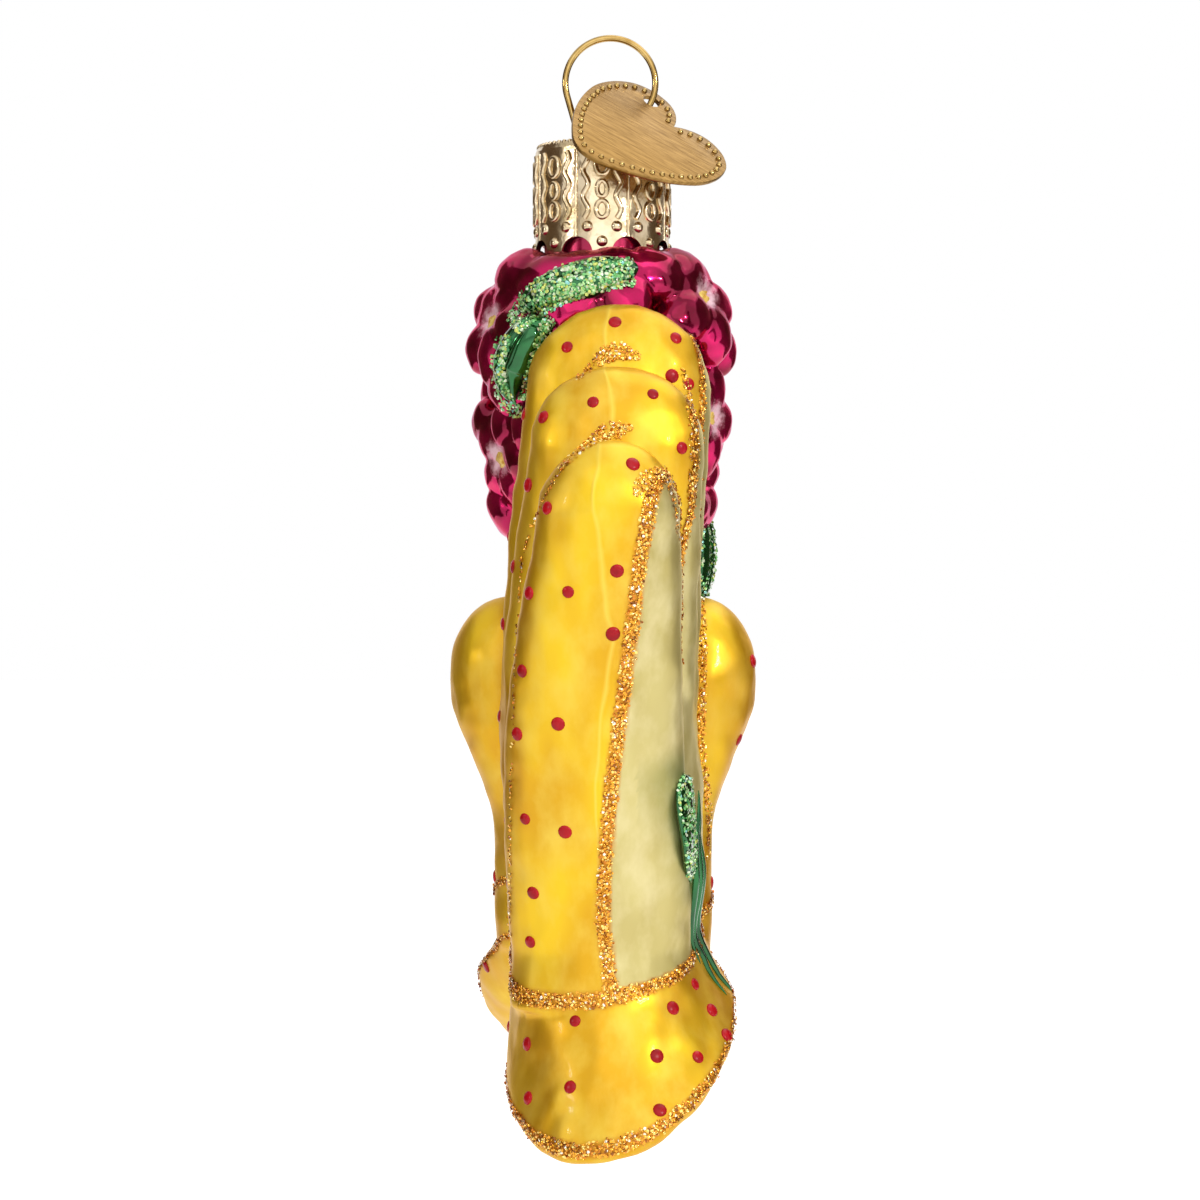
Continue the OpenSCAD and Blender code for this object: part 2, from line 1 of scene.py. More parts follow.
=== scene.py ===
# %% [markdown]
# A blown-glass ornament in cells.
# The ornament is a pair of gardening gloves that hold a bunch of flowers under a metal cap with a wire loop
# and a heart tag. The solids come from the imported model, which is the fixed frame. Each cell adds one piece
# or one finish over it, so a reader can run the cells one by one and look at what each of them made.

# %% Load the frame
import math
import random

import bpy
import numpy as np
from mathutils import Matrix, Vector


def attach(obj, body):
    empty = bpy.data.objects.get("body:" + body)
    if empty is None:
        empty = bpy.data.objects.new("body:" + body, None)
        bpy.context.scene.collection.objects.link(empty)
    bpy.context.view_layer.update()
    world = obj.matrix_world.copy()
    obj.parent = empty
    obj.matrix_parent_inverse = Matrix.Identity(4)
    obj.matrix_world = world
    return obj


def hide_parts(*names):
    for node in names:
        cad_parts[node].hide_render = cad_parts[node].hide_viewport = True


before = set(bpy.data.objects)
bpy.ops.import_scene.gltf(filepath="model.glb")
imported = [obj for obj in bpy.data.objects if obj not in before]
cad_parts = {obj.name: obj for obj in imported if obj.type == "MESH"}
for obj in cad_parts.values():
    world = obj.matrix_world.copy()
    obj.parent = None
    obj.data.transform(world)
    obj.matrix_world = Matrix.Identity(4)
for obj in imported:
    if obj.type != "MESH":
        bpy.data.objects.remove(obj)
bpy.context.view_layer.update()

MM = 0.001

# %% [markdown]
# Every piece ends in the same way: its object at the origin, smooth shading, one material, and the body that
# it moves with. That is the helper settle. The others choose what an operator acts on, because it acts on all
# that is selected, join parts, copy a model to many places, apply a modifier, and turn a screen colour into
# the linear numbers that a shader works with.

# %% Helpers for every piece
def deselect():
    if bpy.context.object and bpy.context.object.mode != "OBJECT":
        bpy.ops.object.mode_set(mode="OBJECT")
    bpy.ops.object.select_all(action="DESELECT")


def linear(red, green, blue):
    def channel(c):
        c /= 255
        return c / 12.92 if c <= 0.04045 else ((c + 0.055) / 1.055) ** 2.4
    return (channel(red), channel(green), channel(blue), 1.0)


def pick(*pieces):
    deselect()
    for piece in pieces:
        piece.select_set(True)
    bpy.context.view_layer.objects.active = pieces[0]


def join(name, pieces):
    pick(*pieces)
    if len(pieces) > 1:
        bpy.ops.object.join()
    made = bpy.context.object
    bpy.ops.object.transform_apply(location=True, rotation=True, scale=True)
    made.name = name
    return made


def settle(piece, material, body, stands_for=(), angle=None):
    pick(piece)
    bpy.ops.object.transform_apply(location=True, rotation=True, scale=True)
    if angle is None:
        bpy.ops.object.shade_smooth()
    else:
        bpy.ops.object.shade_smooth_by_angle(angle=math.radians(angle))
    piece.data.materials.clear()
    piece.data.materials.append(material)
    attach(piece, body)
    if stands_for:
        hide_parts(*stands_for)
    print(piece.name, "faces", len(piece.data.polygons))
    return piece


def copies_of(model, places):
    made = []
    for place in places:
        copy = bpy.data.objects.new(model.name, model.data.copy())
        bpy.context.scene.collection.objects.link(copy)
        copy.data.transform(place)
        made.append(copy)
    bpy.data.objects.remove(model)
    return made


def finish_modifier(piece, kind, **values):
    pick(piece)
    modifier = piece.modifiers.new(kind.lower(), kind)
    for key, value in values.items():
        setattr(modifier, key, value)
    bpy.ops.object.modifier_apply(modifier=modifier.name)


# %% [markdown]
# The camera comes first, because pieces that were painted by hand on the real glass are placed where the
# photograph shows them: a ray goes from the camera through a pixel, and the piece sits where it meets the
# glass. The lens is as long as the photograph's flat look needs: 280 mm away for an ornament of 98 mm.

# %% Camera and the ray through a pixel
CAMERA_MM = Vector((-0.93, -280.0, -50.25))
PIXEL_MM = 0.09
FRAME_PX = 1200
SENSOR_MM = 36
bpy.ops.object.camera_add(location=CAMERA_MM * MM, rotation=(math.pi / 2, 0, 0))
camera = bpy.context.object
camera.data.sensor_width = SENSOR_MM
camera.data.lens = SENSOR_MM * -CAMERA_MM.y / (FRAME_PX * PIXEL_MM)
camera.data.clip_start = 0.01
bpy.context.scene.camera = camera


def pixel_ray(u, v):
    half = FRAME_PX / 2
    return Vector(((u - half) * PIXEL_MM, -CAMERA_MM.y, -(v - half) * PIXEL_MM)).normalized()


def seen_on(piece, u, v):
    hit, spot, normal, _ = piece.ray_cast(CAMERA_MM * MM, pixel_ray(u, v))
    return (spot, normal) if hit else None


print("lens", round(camera.data.lens, 2), "mm")

# %% [markdown]
# The glove is one blown form: four fingers that fan out of a palm, a thumb with a waist and a bulb, and a
# flared cuff. Each finger starts as a circle that is extruded from section to section, moved and resized on
# the way, and ends in a round dome. It could be sculpted too, but sections keep the solid model's sizes.

# %% Sections of the glove in millimetres
AXIS_X = -0.75
GLASS_Z = -19.45
WRIST_Z = -80.05
WRIST_Y = 9.0
TIPS_Y = 15.5
WRIST_T = 15.6
FINGER_REACH = (42.9, 49.6, 55.3, 51.0)
FINGER_T = (11.8, 14.2, 15.0, 13.6)
FINGER_W = 7.6
FINGER_STEP = 6.0
ROOT_STEP = 3.0
BACK_SWELL = 0.7
TIP_CURL = 0.9
FINGER_OUT = (-0.3, 0.35, 0.55, 0.4)
FINGER_FULL = (0.0, 0.3, 0.5, 0.5)
ROOT_DROP = 5.0
ROOT_SHIFT = 0.1
ROOT_FULL = (0.2, 0.25)
ROOT_WIDEN = 0.28
DOME_END = math.radians(88)


def lerp(a, b, t):
    return a + (b - a) * t


def finger_section(i, t):
    swell = BACK_SWELL * np.sin(np.pi * t)
    x = AXIS_X + TIP_CURL * t * t - swell + FINGER_OUT[i] * t
    y = -lerp(WRIST_Y + (1.5 - i) * ROOT_STEP, TIPS_Y + (1.5 - i) * FINGER_STEP, t)
    z = WRIST_Z + (FINGER_REACH[i] - FINGER_T[i] / 2) * t
    half_thick = lerp(WRIST_T, FINGER_T[i], t) / 2 + swell + FINGER_FULL[i] * t
    half_wide = FINGER_W * (1 + ROOT_WIDEN - ROOT_WIDEN * t) / 2
    return x, y, z, half_thick, half_wide


def rounded(section, height, steps=7):
    x, y, z, half_thick, half_wide = section
    rings = []
    for k in range(steps):
        a = DOME_END * (k + 1) / steps
        shrink = math.cos(a)
        rings.append((x, y, z + height * math.sin(a), half_thick * shrink, half_wide * shrink))
    return rings


def loft(sections, flats=28):
    deselect()
    x, y, z, half_thick, half_wide = sections[0]
    bpy.ops.mesh.primitive_circle_add(vertices=flats, radius=MM, fill_type="NGON", location=(0, 0, 0))
    bpy.ops.object.mode_set(mode="EDIT")
    bpy.ops.transform.resize(value=(half_thick, half_wide, 1), center_override=(0, 0, 0))
    bpy.ops.transform.translate(value=(x * MM, y * MM, z * MM))
    for low, high in zip(sections, sections[1:]):
        step = [(high[k] - low[k]) * MM for k in range(3)]
        bpy.ops.mesh.extrude_region_move(TRANSFORM_OT_translate={"value": step})
        grow = (high[3] / low[3], high[4] / low[4], 1)
        bpy.ops.transform.resize(value=grow, center_override=[c * MM for c in high[:3]])
    bpy.ops.mesh.select_all(action="SELECT")
    bpy.ops.mesh.normals_make_consistent(inside=False)
    bpy.ops.object.mode_set(mode="OBJECT")
    return bpy.context.object


fingers = []
for i in range(4):
    body = [finger_section(i, k / 8) for k in range(9)]
    x, y, z, half_thick, half_wide = body[0]
    root = (x, y - ROOT_SHIFT, z - ROOT_DROP, half_thick + ROOT_FULL[0], half_wide + ROOT_FULL[1])
    fingers.append(loft([root] + body + rounded(body[-1], FINGER_T[i] / 2)))
print("fingers", len(fingers), "faces in the first", len(fingers[0].data.polygons))

# %% [markdown]
# The palm fills the hand between the roots of the fingers, and the thumb stands off its front. The thumb's
# five measured sections are joined by a smooth curve, so the waist and the bulb flow into each other.

# %% Palm and thumb
PALM_LEN = 29.0
PALM_W = 17.0
PALM_ROUND = 9.0
THUMB_D = 10.2
THUMB_WAIST = 7.5
THUMB_REACH = 29.4
THUMB_OUT = (-3.2, -2.4, -1.5, 0.35, 0.9)
THUMB_SIDE = (5.0, 5.8, 6.6, 7.2, 7.2)
THUMB_DOME = 7.3
BULB_DROP = 1.4
HEEL_SHARE = (0, 0.34, 0.67, 1)
HEEL_PAD = (0.25, 0.6, 0.55, 0.3)
PALM_GROW = 0.4


def palm_section(t, pad):
    y = -lerp(WRIST_Y, WRIST_Y + 0.55 * (TIPS_Y - WRIST_Y), t)
    z = WRIST_Z + (PALM_LEN - PALM_ROUND) * t
    half_thick = WRIST_T / 2 + PALM_GROW * t + pad
    return AXIS_X - BACK_SWELL * t + pad, y, z, half_thick, PALM_W / 2 + PALM_GROW * t


def smooth_through(keys, steps=5):
    points = []
    for k in range(len(keys) - 1):
        a, b, c, d = (np.array(keys[min(max(k + n, 0), len(keys) - 1)]) for n in (-1, 0, 1, 2))
        for s in range(steps):
            t = s / steps
            bend = 2 * a - 5 * b + 4 * c - d
            twist = 3 * b - a - 3 * c + d
            curve = 2 * b + (c - a) * t + bend * t * t + twist * t ** 3
            points.append(tuple(curve / 2))
    return points + [tuple(keys[-1])]


palm_body = [palm_section(t, pad) for t, pad in zip(HEEL_SHARE, HEEL_PAD)]
palm_root = list(palm_body[0])
palm_root[2] -= 1
palm = loft([tuple(palm_root)] + palm_body + rounded(palm_body[-1], PALM_ROUND))

bulb_z = WRIST_Z + THUMB_REACH - THUMB_D / 2 - BULB_DROP
thumb_z = (WRIST_Z - 2, WRIST_Z + 0.19 * THUMB_REACH, WRIST_Z + 0.4 * THUMB_REACH, bulb_z - 4.4, bulb_z)
tip_r, waist_r = THUMB_D / 2, THUMB_WAIST / 2
thumb_r = (tip_r, 1.18 * waist_r, 1.06 * waist_r, 0.96 * tip_r, 1.02 * tip_r)
thumb_keys = [
    (AXIS_X + WRIST_T / 2 + THUMB_OUT[k], THUMB_SIDE[k] - WRIST_Y, thumb_z[k], thumb_r[k], thumb_r[k])
    for k in range(5)
]
thumb_body = smooth_through(thumb_keys)
thumb = loft(thumb_body + rounded(thumb_body[-1], THUMB_DOME, 9))
print("palm faces", len(palm.data.polygons), "thumb faces", len(thumb.data.polygons))

# %% [markdown]
# The cuff flares to its hem and closes with rounded glass. Its rings slope two ways, down to the outer side
# and to the back of the hand. Shear needs a window, so the rings are drawn level, and each vertex then drops
# by the slope of its own ring. The cuff ends at the plane between the two gloves, where a bisect cuts it.

# %% Cuff
CUFF_LEN = 8.4
CUFF_W = 19.1
HEM_W = 25.0
HEM_T = 19.7
HEM_OUT = 1.8
HEM_FLARE = 1.65
CUFF_CLOSE = 3.3
CLOSE_TURNS = (88, 80, 70, 58, 46, 34, 22, 11)
CUFF_SLOPE = (0.137, 0.39)
HEM_SLOPE = (0.31, 0.56)
WRIST_STEP = (0.4, 0.2, 0.5)
WRIST_TUCK = 0.94


def cuff_section(t):
    flare = 0.5 * t * t + 0.5 * t
    step_x, step_y, step_out = WRIST_STEP
    x = AXIS_X + step_x + (HEM_FLARE - step_x) * flare
    y = -WRIST_Y - step_y - HEM_OUT * flare
    half_thick = WRIST_T / 2 + step_out + (HEM_T - WRIST_T - 2 * step_out) / 2 * flare
    return x, y, WRIST_Z - CUFF_LEN * t, half_thick, lerp(CUFF_W, HEM_W, flare) / 2


def slopes_at(z):
    t = np.clip((WRIST_Z - z) / CUFF_LEN, 0, 1)
    return lerp(CUFF_SLOPE[0], HEM_SLOPE[0], t), lerp(CUFF_SLOPE[1], HEM_SLOPE[1], t)


hem = cuff_section(1)
cuff_rings = []
for degrees in CLOSE_TURNS:
    a = math.radians(degrees)
    shrink = math.cos(a) ** 0.5
    cuff_rings.append((hem[0], hem[1], hem[2] - CUFF_CLOSE * math.sin(a), hem[3] * shrink, hem[4] * shrink))
cuff_rings += [cuff_section(t) for t in np.linspace(1, 0, 9)]
top = cuff_section(0)
cuff_rings.append((top[0], top[1], top[2] + 0.8, top[3] * WRIST_TUCK, top[4] * WRIST_TUCK))
cuff = loft(cuff_rings, flats=56)
for vertex in cuff.data.vertices:
    x, y, z = vertex.co / MM
    slope_x, slope_y = slopes_at(z)
    t = min(max((WRIST_Z - z) / CUFF_LEN, 0), 1)
    centre = cuff_section(t)
    vertex.co.z += (slope_x * (x - centre[0]) + slope_y * (y - centre[1])) * MM
pick(cuff)
bpy.ops.object.mode_set(mode="EDIT")
bpy.ops.mesh.select_all(action="SELECT")
bpy.ops.mesh.bisect(plane_co=(0, 0, 0), plane_no=(0, 1, 0), use_fill=True, clear_outer=True)
bpy.ops.object.mode_set(mode="OBJECT")
print("cuff faces", len(cuff.data.polygons))

# %% [markdown]
# Glass that is blown into a mould has no sharp joins, so the separate forms are joined and remeshed into one
# skin, and smoothing rounds the creases between the fingers. A weak cloud texture then moves the surface by
# less than a tenth of a millimetre, as the wall of real glass wanders, and the highlights break up.

# %% One skin for the glove
GLOVE_VOXEL = 0.36


def roughen(piece, name, kind, size, strength, middle=0.5):
    texture = bpy.data.textures.new(name, kind)
    texture.noise_scale = size * MM
    if kind == "CLOUDS":
        texture.noise_depth = 1
    values = {"texture": texture, "texture_coords": "LOCAL", "strength": strength * MM, "mid_level": middle}
    finish_modifier(piece, "DISPLACE", **values)


near_glove = join("near_glove_skin", fingers + [palm, thumb, cuff])
finish_modifier(near_glove, "REMESH", mode="VOXEL", voxel_size=GLOVE_VOXEL * MM, adaptivity=0.0)
finish_modifier(near_glove, "SMOOTH", factor=0.5, iterations=7)
roughen(near_glove, "glass_wander", "CLOUDS", 4, 0.5)
print("glove skin faces", len(near_glove.data.polygons))

# %% [markdown]
# The lacquer colours have borders that are drawn with glitter. The borders are worked out from the form: a
# point belongs to the finger whose section it lies nearest to, and its angle round that finger says whether
# it is on the cream palm side. On the little finger and the palm, the edge follows the photograph's line.

# %% Where the cream leather ends
EDGE_PIXELS = ((655, 478), (640, 560), (625, 680), (612, 780), (605, 860), (603, 920), (610, 985))
edge_spots = [seen_on(near_glove, u, v)[0] / MM for u, v in EDGE_PIXELS]
edge_z = np.array([s.z for s in reversed(edge_spots)])
edge_x = np.array([s.x for s in reversed(edge_spots)])
FINGER_LIMIT = np.radians((10, 27, 24, 24))
JOIN_WIDEN = math.radians(34)
TIP_MARGIN = (2.2, 3.2, 2.6, 3.0)
ARCH_H = (3.4, 5.0, 5.0, 5.0)
JOIN_Z = WRIST_Z + 25.0
NO_CREAM = -5.0


def finger_polar(points, i):
    z = points[:, 2]
    dome = FINGER_T[i] / 2
    t = np.clip((z - WRIST_Z) / (FINGER_REACH[i] - dome), 0, 1)
    x, y, base_z, half_thick, half_wide = finger_section(i, t)
    over = np.clip((z - base_z) / dome, 0, 0.98)
    shrink = np.sqrt(1 - over * over)
    a = (points[:, 0] - x) / (half_thick * shrink)
    b = (points[:, 1] - y) / (half_wide * shrink)
    return np.hypot(a, b), np.arctan2(np.abs(b), a), b, half_wide


def little_reach(points, polar, from_edge, arch, past):
    x, z = points[:, 0], points[:, 2]
    _, turn, side, half_wide = polar
    t = np.clip((z - WRIST_Z) / (FINGER_REACH[0] - FINGER_T[0] / 2), 0, 1)
    centre, _, _, half_thick, _ = finger_section(0, t)
    left_x = x - from_edge
    right_x = centre + half_thick
    middle = lerp(left_x, right_x, 0.6)
    left_part = x - middle + (middle - left_x) * arch
    right_part = np.where(arch < 0.999, middle + (right_x - middle) * arch - x, 9.0)
    outer = np.minimum(left_part, right_part) - past
    inner = (FINGER_LIMIT[0] - turn) * half_wide - (1 - arch) * 2 - past
    return np.where(side < 0, outer, inner), (side < 0) & (x < middle + 0.3)


def palm_reach(points):
    polar = [finger_polar(points, i) for i in range(4)]
    nearest = np.argmin([p[0] for p in polar], axis=0)
    z = points[:, 2]
    from_edge = points[:, 0] - np.interp(z, edge_z, edge_x)
    widen = JOIN_WIDEN * np.clip((JOIN_Z + 12 - z) / 12, 0, 1)
    depth = np.full(len(points), NO_CREAM)
    thick = z < JOIN_Z
    for i, (_, turn, _, half_wide) in enumerate(polar):
        mine = nearest == i
        tip_z = WRIST_Z + FINGER_REACH[i] - TIP_MARGIN[i]
        over = np.clip((z - tip_z + ARCH_H[i]) / ARCH_H[i], 0, 1)
        arch = np.sqrt(1 - over * over)
        past = np.maximum(z - tip_z, 0)
        reach = ((FINGER_LIMIT[i] + widen) * arch - turn) * half_wide - past
        if i == 0:
            reach, outer = little_reach(points, polar[0], from_edge, arch, past)
            thick |= mine & outer
        depth[mine] = reach[mine]
    below = np.where(z < JOIN_Z, np.minimum(from_edge, (JOIN_Z - z) * 1.2), NO_CREAM)
    return np.maximum(depth, below), thick, nearest, polar


def from_thumb(points):
    keys = np.array(thumb_body)
    x, y, radius = (np.interp(points[:, 2], keys[:, 2], keys[:, k]) for k in (0, 1, 3))
    above = np.maximum(points[:, 2] - keys[-1, 2], 0) / THUMB_DOME
    radius = radius * np.sqrt(np.maximum(1 - above * above, 0))
    return np.hypot(points[:, 0] - x, points[:, 1] - y) - radius + np.maximum(above - 1, 0) * THUMB_DOME


def cuff_share(points):
    t = np.zeros(len(points))
    for _ in range(6):
        slope_x = lerp(CUFF_SLOPE[0], HEM_SLOPE[0], t)
        slope_y = lerp(CUFF_SLOPE[1], HEM_SLOPE[1], t)
        x, y, _, _, _ = cuff_section(t)
        level_z = points[:, 2] - slope_x * (points[:, 0] - x) - slope_y * (points[:, 1] - y)
        t = np.clip((WRIST_Z - level_z) / CUFF_LEN, -1, 1.6)
    return t


print("edge of the cream in mm", [(round(a, 1), round(b, 1)) for a, b in zip(edge_x, edge_z)])

# %% [markdown]
# From the borders come the glitter lines: a thick one along the palm's edge, thin ones on the other fingers,
# and bands round the wrist and the hem. The same measures give the skin its painted areas: cream, lines,
# painted shade in the creases between the fingers, a painted green shade round the sprig's leaf, and painted
# shade on the flanks that face sideways. Each is stored on the vertices, so that the colours follow the
# surface. They could be painted by hand as vertex colours too.

# %% Lines and painted areas on the skin
THICK_LINE = 0.56
THIN_LINE = 0.26
THUMB_EDGE = 1.0
WRIST_BAND = 0.52
HEM_BAND = 0.46
LINE_REACH = 3.0
CREASE_SHADE_TOP = 54.0
FLANK_SHADE_FROM = 0.4
FLANK_SHADE_OVER = 0.55


def painted(points):
    depth, thick, nearest, polar = palm_reach(points)
    t = cuff_share(points)
    z = points[:, 2]
    on_hand = t < 0
    depth = np.minimum(depth, (from_thumb(points) - THUMB_EDGE) * 1.8)
    depth = np.where(on_hand, depth, NO_CREAM)
    by_edge = on_hand & (np.abs(depth) < LINE_REACH)
    line = np.where(by_edge, 1 - np.abs(depth) / np.where(thick, THICK_LINE, THIN_LINE), -9)
    line = np.maximum(line, 1 - np.abs(t * CUFF_LEN) / WRIST_BAND)
    line = np.maximum(line, 1 - np.abs((t - 1) * CUFF_LEN) / HEM_BAND)
    nearness = np.sort([p[0] for p in polar], axis=0)
    # The groove value is painted shade: it is highest in the creases, where two fingers meet.
    groove = np.exp((nearness[0] - nearness[1]) * 3.5)
    return depth, line, np.where(on_hand & (z < WRIST_Z + CREASE_SHADE_TOP), groove, 0)


def skin_points(piece):
    co = np.empty(len(piece.data.vertices) * 3, np.float32)
    piece.data.vertices.foreach_get("co", co)
    return co.reshape(-1, 3).astype(float) / MM


def store(piece, name, values):
    layer = piece.data.attributes.new(name, "FLOAT", "POINT")
    layer.data.foreach_set("value", np.asarray(values, np.float32))


SPRIG_LEAF = ((682, 775), (687, 828), (691, 880))
SHADE_REACH = 2.2
sprig_ends = [seen_on(near_glove, u, v)[0] / MM for u, v in (SPRIG_LEAF[0], SPRIG_LEAF[-1])]


# Painted shade: an olive tint on the cream that fades with the distance from the sprig's leaf.
def leaf_shade(points):
    ends = np.array([(spot.y, spot.z) for spot in sprig_ends])
    way = ends[1] - ends[0]
    from_top = points[:, 1:] - ends[0]
    t = np.clip(from_top @ way / (way @ way), 0, 1)
    away = np.linalg.norm(from_top - t[:, None] * way, axis=1)
    return np.where(points[:, 0] > 2, np.exp(-(away / SHADE_REACH) ** 2), 0)


store(near_glove, "shade", leaf_shade(skin_points(near_glove)))
depth, line, groove = painted(skin_points(near_glove))
store(near_glove, "palm", depth)
store(near_glove, "trim", np.clip(line * 2 + 0.6, 0, 1))
store(near_glove, "groove", groove)
# Painted shade: surfaces that face sideways are stored for an ochre tint, as the sides darken under the
# light.
turned = np.empty(len(near_glove.data.vertices) * 3, np.float32)
near_glove.data.vertices.foreach_get("normal", turned)
store(near_glove, "flank_shade", np.clip((np.abs(turned[0::3]) - FLANK_SHADE_FROM) / FLANK_SHADE_OVER, 0, 1))
print("cream share of the skin", round(float((depth > 0).mean()), 3), "leaf ends", sprig_ends)

# %% [markdown]
# The lacquer on the gloves is a satin pearl: silvered glass under a coloured coat with fine flakes. A part
# metallic base gives the soft broad shine, and cloudy noise gives the uneven spray; its pale patches are
# partly uneven spray and partly a painted soft sheen. A deeper ochre is painted shade in the creases between
# the fingers and on the flanks that face sideways, and a fine grain breaks up the gloss. A pale, wavering
# ridge on the hand marks the seam of the mould. All of it reads the object's own coordinates and the painted
# areas, so it stays in place from every side. The small helpers that add one node each are used by every
# later finish too.

# %% Node helpers and the pearl lacquer
def new_material(name, **sockets):
    material = bpy.data.materials.new(name)
    material.use_nodes = True
    shader = material.node_tree.nodes["Principled BSDF"]
    for key, value in sockets.items():
        shader.inputs[key.replace("_", " ")].default_value = value
    return material, material.node_tree, shader


def add_node(tree, kind, inputs=None, **values):
    node = tree.nodes.new(kind)
    for key, value in values.items():
        setattr(node, key, value)
    for key, value in (inputs or {}).items():
        if hasattr(value, "is_linked"):
            tree.links.new(value, node.inputs[key])
        else:
            node.inputs[key].default_value = value
    return node


def object_space(tree, scale=(1, 1, 1), turn=(0, 0, 0)):
    place = add_node(tree, "ShaderNodeTexCoord").outputs["Object"]
    values = {"Vector": place, "Scale": scale, "Rotation": turn}
    return add_node(tree, "ShaderNodeMapping", values).outputs["Vector"]


def noise(tree, vector, scale, detail=3.0, roughness=0.55):
    values = {"Vector": vector, "Scale": scale, "Detail": detail, "Roughness": roughness}
    return add_node(tree, "ShaderNodeTexNoise", values).outputs["Fac"]


def spread(tree, value, low, high, to_low=0.0, to_high=1.0):
    values = {"Value": value, "From Min": low, "From Max": high, "To Min": to_low, "To Max": to_high}
    return add_node(tree, "ShaderNodeMapRange", values).outputs["Result"]


MIX_FACTOR, MIX_FIRST, MIX_SECOND, MIX_COLOUR = 0, 6, 7, 2


def mix(tree, factor, first, second):
    values = {MIX_FACTOR: factor, MIX_FIRST: first, MIX_SECOND: second}
    return add_node(tree, "ShaderNodeMix", values, data_type="RGBA").outputs[MIX_COLOUR]


def math_of(tree, operation, *values):
    return add_node(tree, "ShaderNodeMath", dict(enumerate(values)), operation=operation).outputs["Value"]


def painted_area(tree, name):
    return add_node(tree, "ShaderNodeAttribute", attribute_name=name).outputs["Fac"]


def bump(tree, shader, height, strength, distance):
    values = {"Height": height, "Strength": strength, "Distance": distance}
    tree.links.new(add_node(tree, "ShaderNodeBump", values).outputs["Normal"], shader.inputs["Normal"])


def two_tone(tree, shader, value, spans, first, second, rough):
    tree.links.new(mix(tree, spread(tree, value, *spans), first, second), shader.inputs["Base Color"])
    tree.links.new(spread(tree, value, 0.3, 0.7, *rough), shader.inputs["Roughness"])


YELLOW = linear(240, 199, 34)
YELLOW_DEEP = linear(222, 168, 28)
YELLOW_PALE = linear(246, 218, 92)
SHADE_OCHRE = linear(190, 128, 24)
CREAM = linear(210, 196, 130)
CREAM_DEEP = linear(184, 167, 97)
CREAM_PALE = linear(236, 224, 172)
LEAF_SHADE_OLIVE = linear(84, 106, 52)
AMBER = linear(206, 138, 30)
SEAM_SWAY = 2.5
SEAM_W = 0.28

pearl, tree, shader = new_material(
    "pearl_lacquer", Metallic=0.55, Coat_Weight=0.08, Coat_Roughness=0.06, Specular_Tint=(1.0, 0.82, 0.5, 1)
)
drift = noise(tree, object_space(tree, (1, 1, 0.35)), 170, 2.0)
cloud = noise(tree, object_space(tree, (1, 1, 0.6)), 420, 4.0)
yellow = mix(tree, spread(tree, drift, 0.36, 0.62), YELLOW, YELLOW_DEEP)
# Pale patches: partly uneven spray, partly a painted soft sheen.
yellow = mix(tree, spread(tree, cloud, 0.42, 0.78, 0, 0.6), yellow, YELLOW_PALE)
# Painted shade: ochre in the creases between the fingers, from the groove value.
yellow = mix(tree, spread(tree, painted_area(tree, "groove"), 0.3, 1.0, 0, 0.75), yellow, SHADE_OCHRE)
# Painted shade on the flanks that face sideways.
yellow = mix(tree, spread(tree, painted_area(tree, "flank_shade"), 0, 1, 0, 0.5), yellow, SHADE_OCHRE)
place = add_node(tree, "ShaderNodeSeparateXYZ", {"Vector": object_space(tree)}).outputs
waver = spread(tree, drift, 0, 1, (AXIS_X - SEAM_SWAY) * MM, (AXIS_X + SEAM_SWAY) * MM)
seam = math_of(tree, "ABSOLUTE", math_of(tree, "SUBTRACT", place["X"], waver))
seam = spread(tree, seam, 0.0, SEAM_W * MM, 1.0, 0.0)
on_hand = spread(tree, place["Z"], (WRIST_Z - 1) * MM, (WRIST_Z + 3) * MM)
seam = math_of(tree, "MULTIPLY", seam, on_hand)
yellow = mix(tree, spread(tree, seam, 0, 1, 0, 0.55), yellow, YELLOW_PALE)
cream = mix(tree, spread(tree, drift, 0.35, 0.7), CREAM, CREAM_DEEP)
# Pale patches: partly uneven spray, partly a painted satin sheen.
cream = mix(tree, spread(tree, cloud, 0.4, 0.7, 0, 0.55), cream, CREAM_PALE)
# Painted shade of the sprig's leaf on the cream.
cream = mix(tree, spread(tree, painted_area(tree, "shade"), 0.1, 1.0, 0, 0.7), cream, LEAF_SHADE_OLIVE)
coat_colour = mix(tree, spread(tree, painted_area(tree, "palm"), -0.08, 0.08), yellow, cream)
coat_colour = mix(tree, painted_area(tree, "trim"), coat_colour, AMBER)
tree.links.new(coat_colour, shader.inputs["Base Color"])
tree.links.new(spread(tree, cloud, 0.3, 0.75, 0.34, 0.5), shader.inputs["Roughness"])
grain = noise(tree, object_space(tree), 2600, 2.0)
bump(tree, shader, math_of(tree, "MULTIPLY_ADD", grain, 0.12, seam), 0.35, 0.05 * MM)
print("pearl lacquer nodes", len(tree.nodes))

# %% [markdown]
# The two gloves are one shape: the far one is the near one, turned half round about the upright axis of the
# neck. So the near one is finished first, and a copy with a mesh of its own is turned. A mirror would do for
# the shape, but both thumbs would then be on one side, and the photograph shows one at each side.

# %% Settle the near glove and turn a copy for the far one
def about_axis(turn):
    there = Matrix.Translation((AXIS_X * MM, 0, 0))
    return there @ Matrix.Rotation(turn, 4, "Z") @ there.inverted()


def turned_copy(piece, name):
    pick(piece)
    bpy.ops.object.duplicate()
    copy = bpy.context.object
    copy.name = name
    copy.data.transform(about_axis(math.pi))
    return copy


GLOVE_NODES = ("hand", "palm", "thumb", "cuff")


def settle_pair(near, far_name, material, nodes=(), angle=None):
    far = turned_copy(near, far_name)
    settle(near, material, "glass", ["near_" + n for n in nodes], angle)
    settle(far, material, "glass", ["far_" + n for n in nodes], angle)
    return far


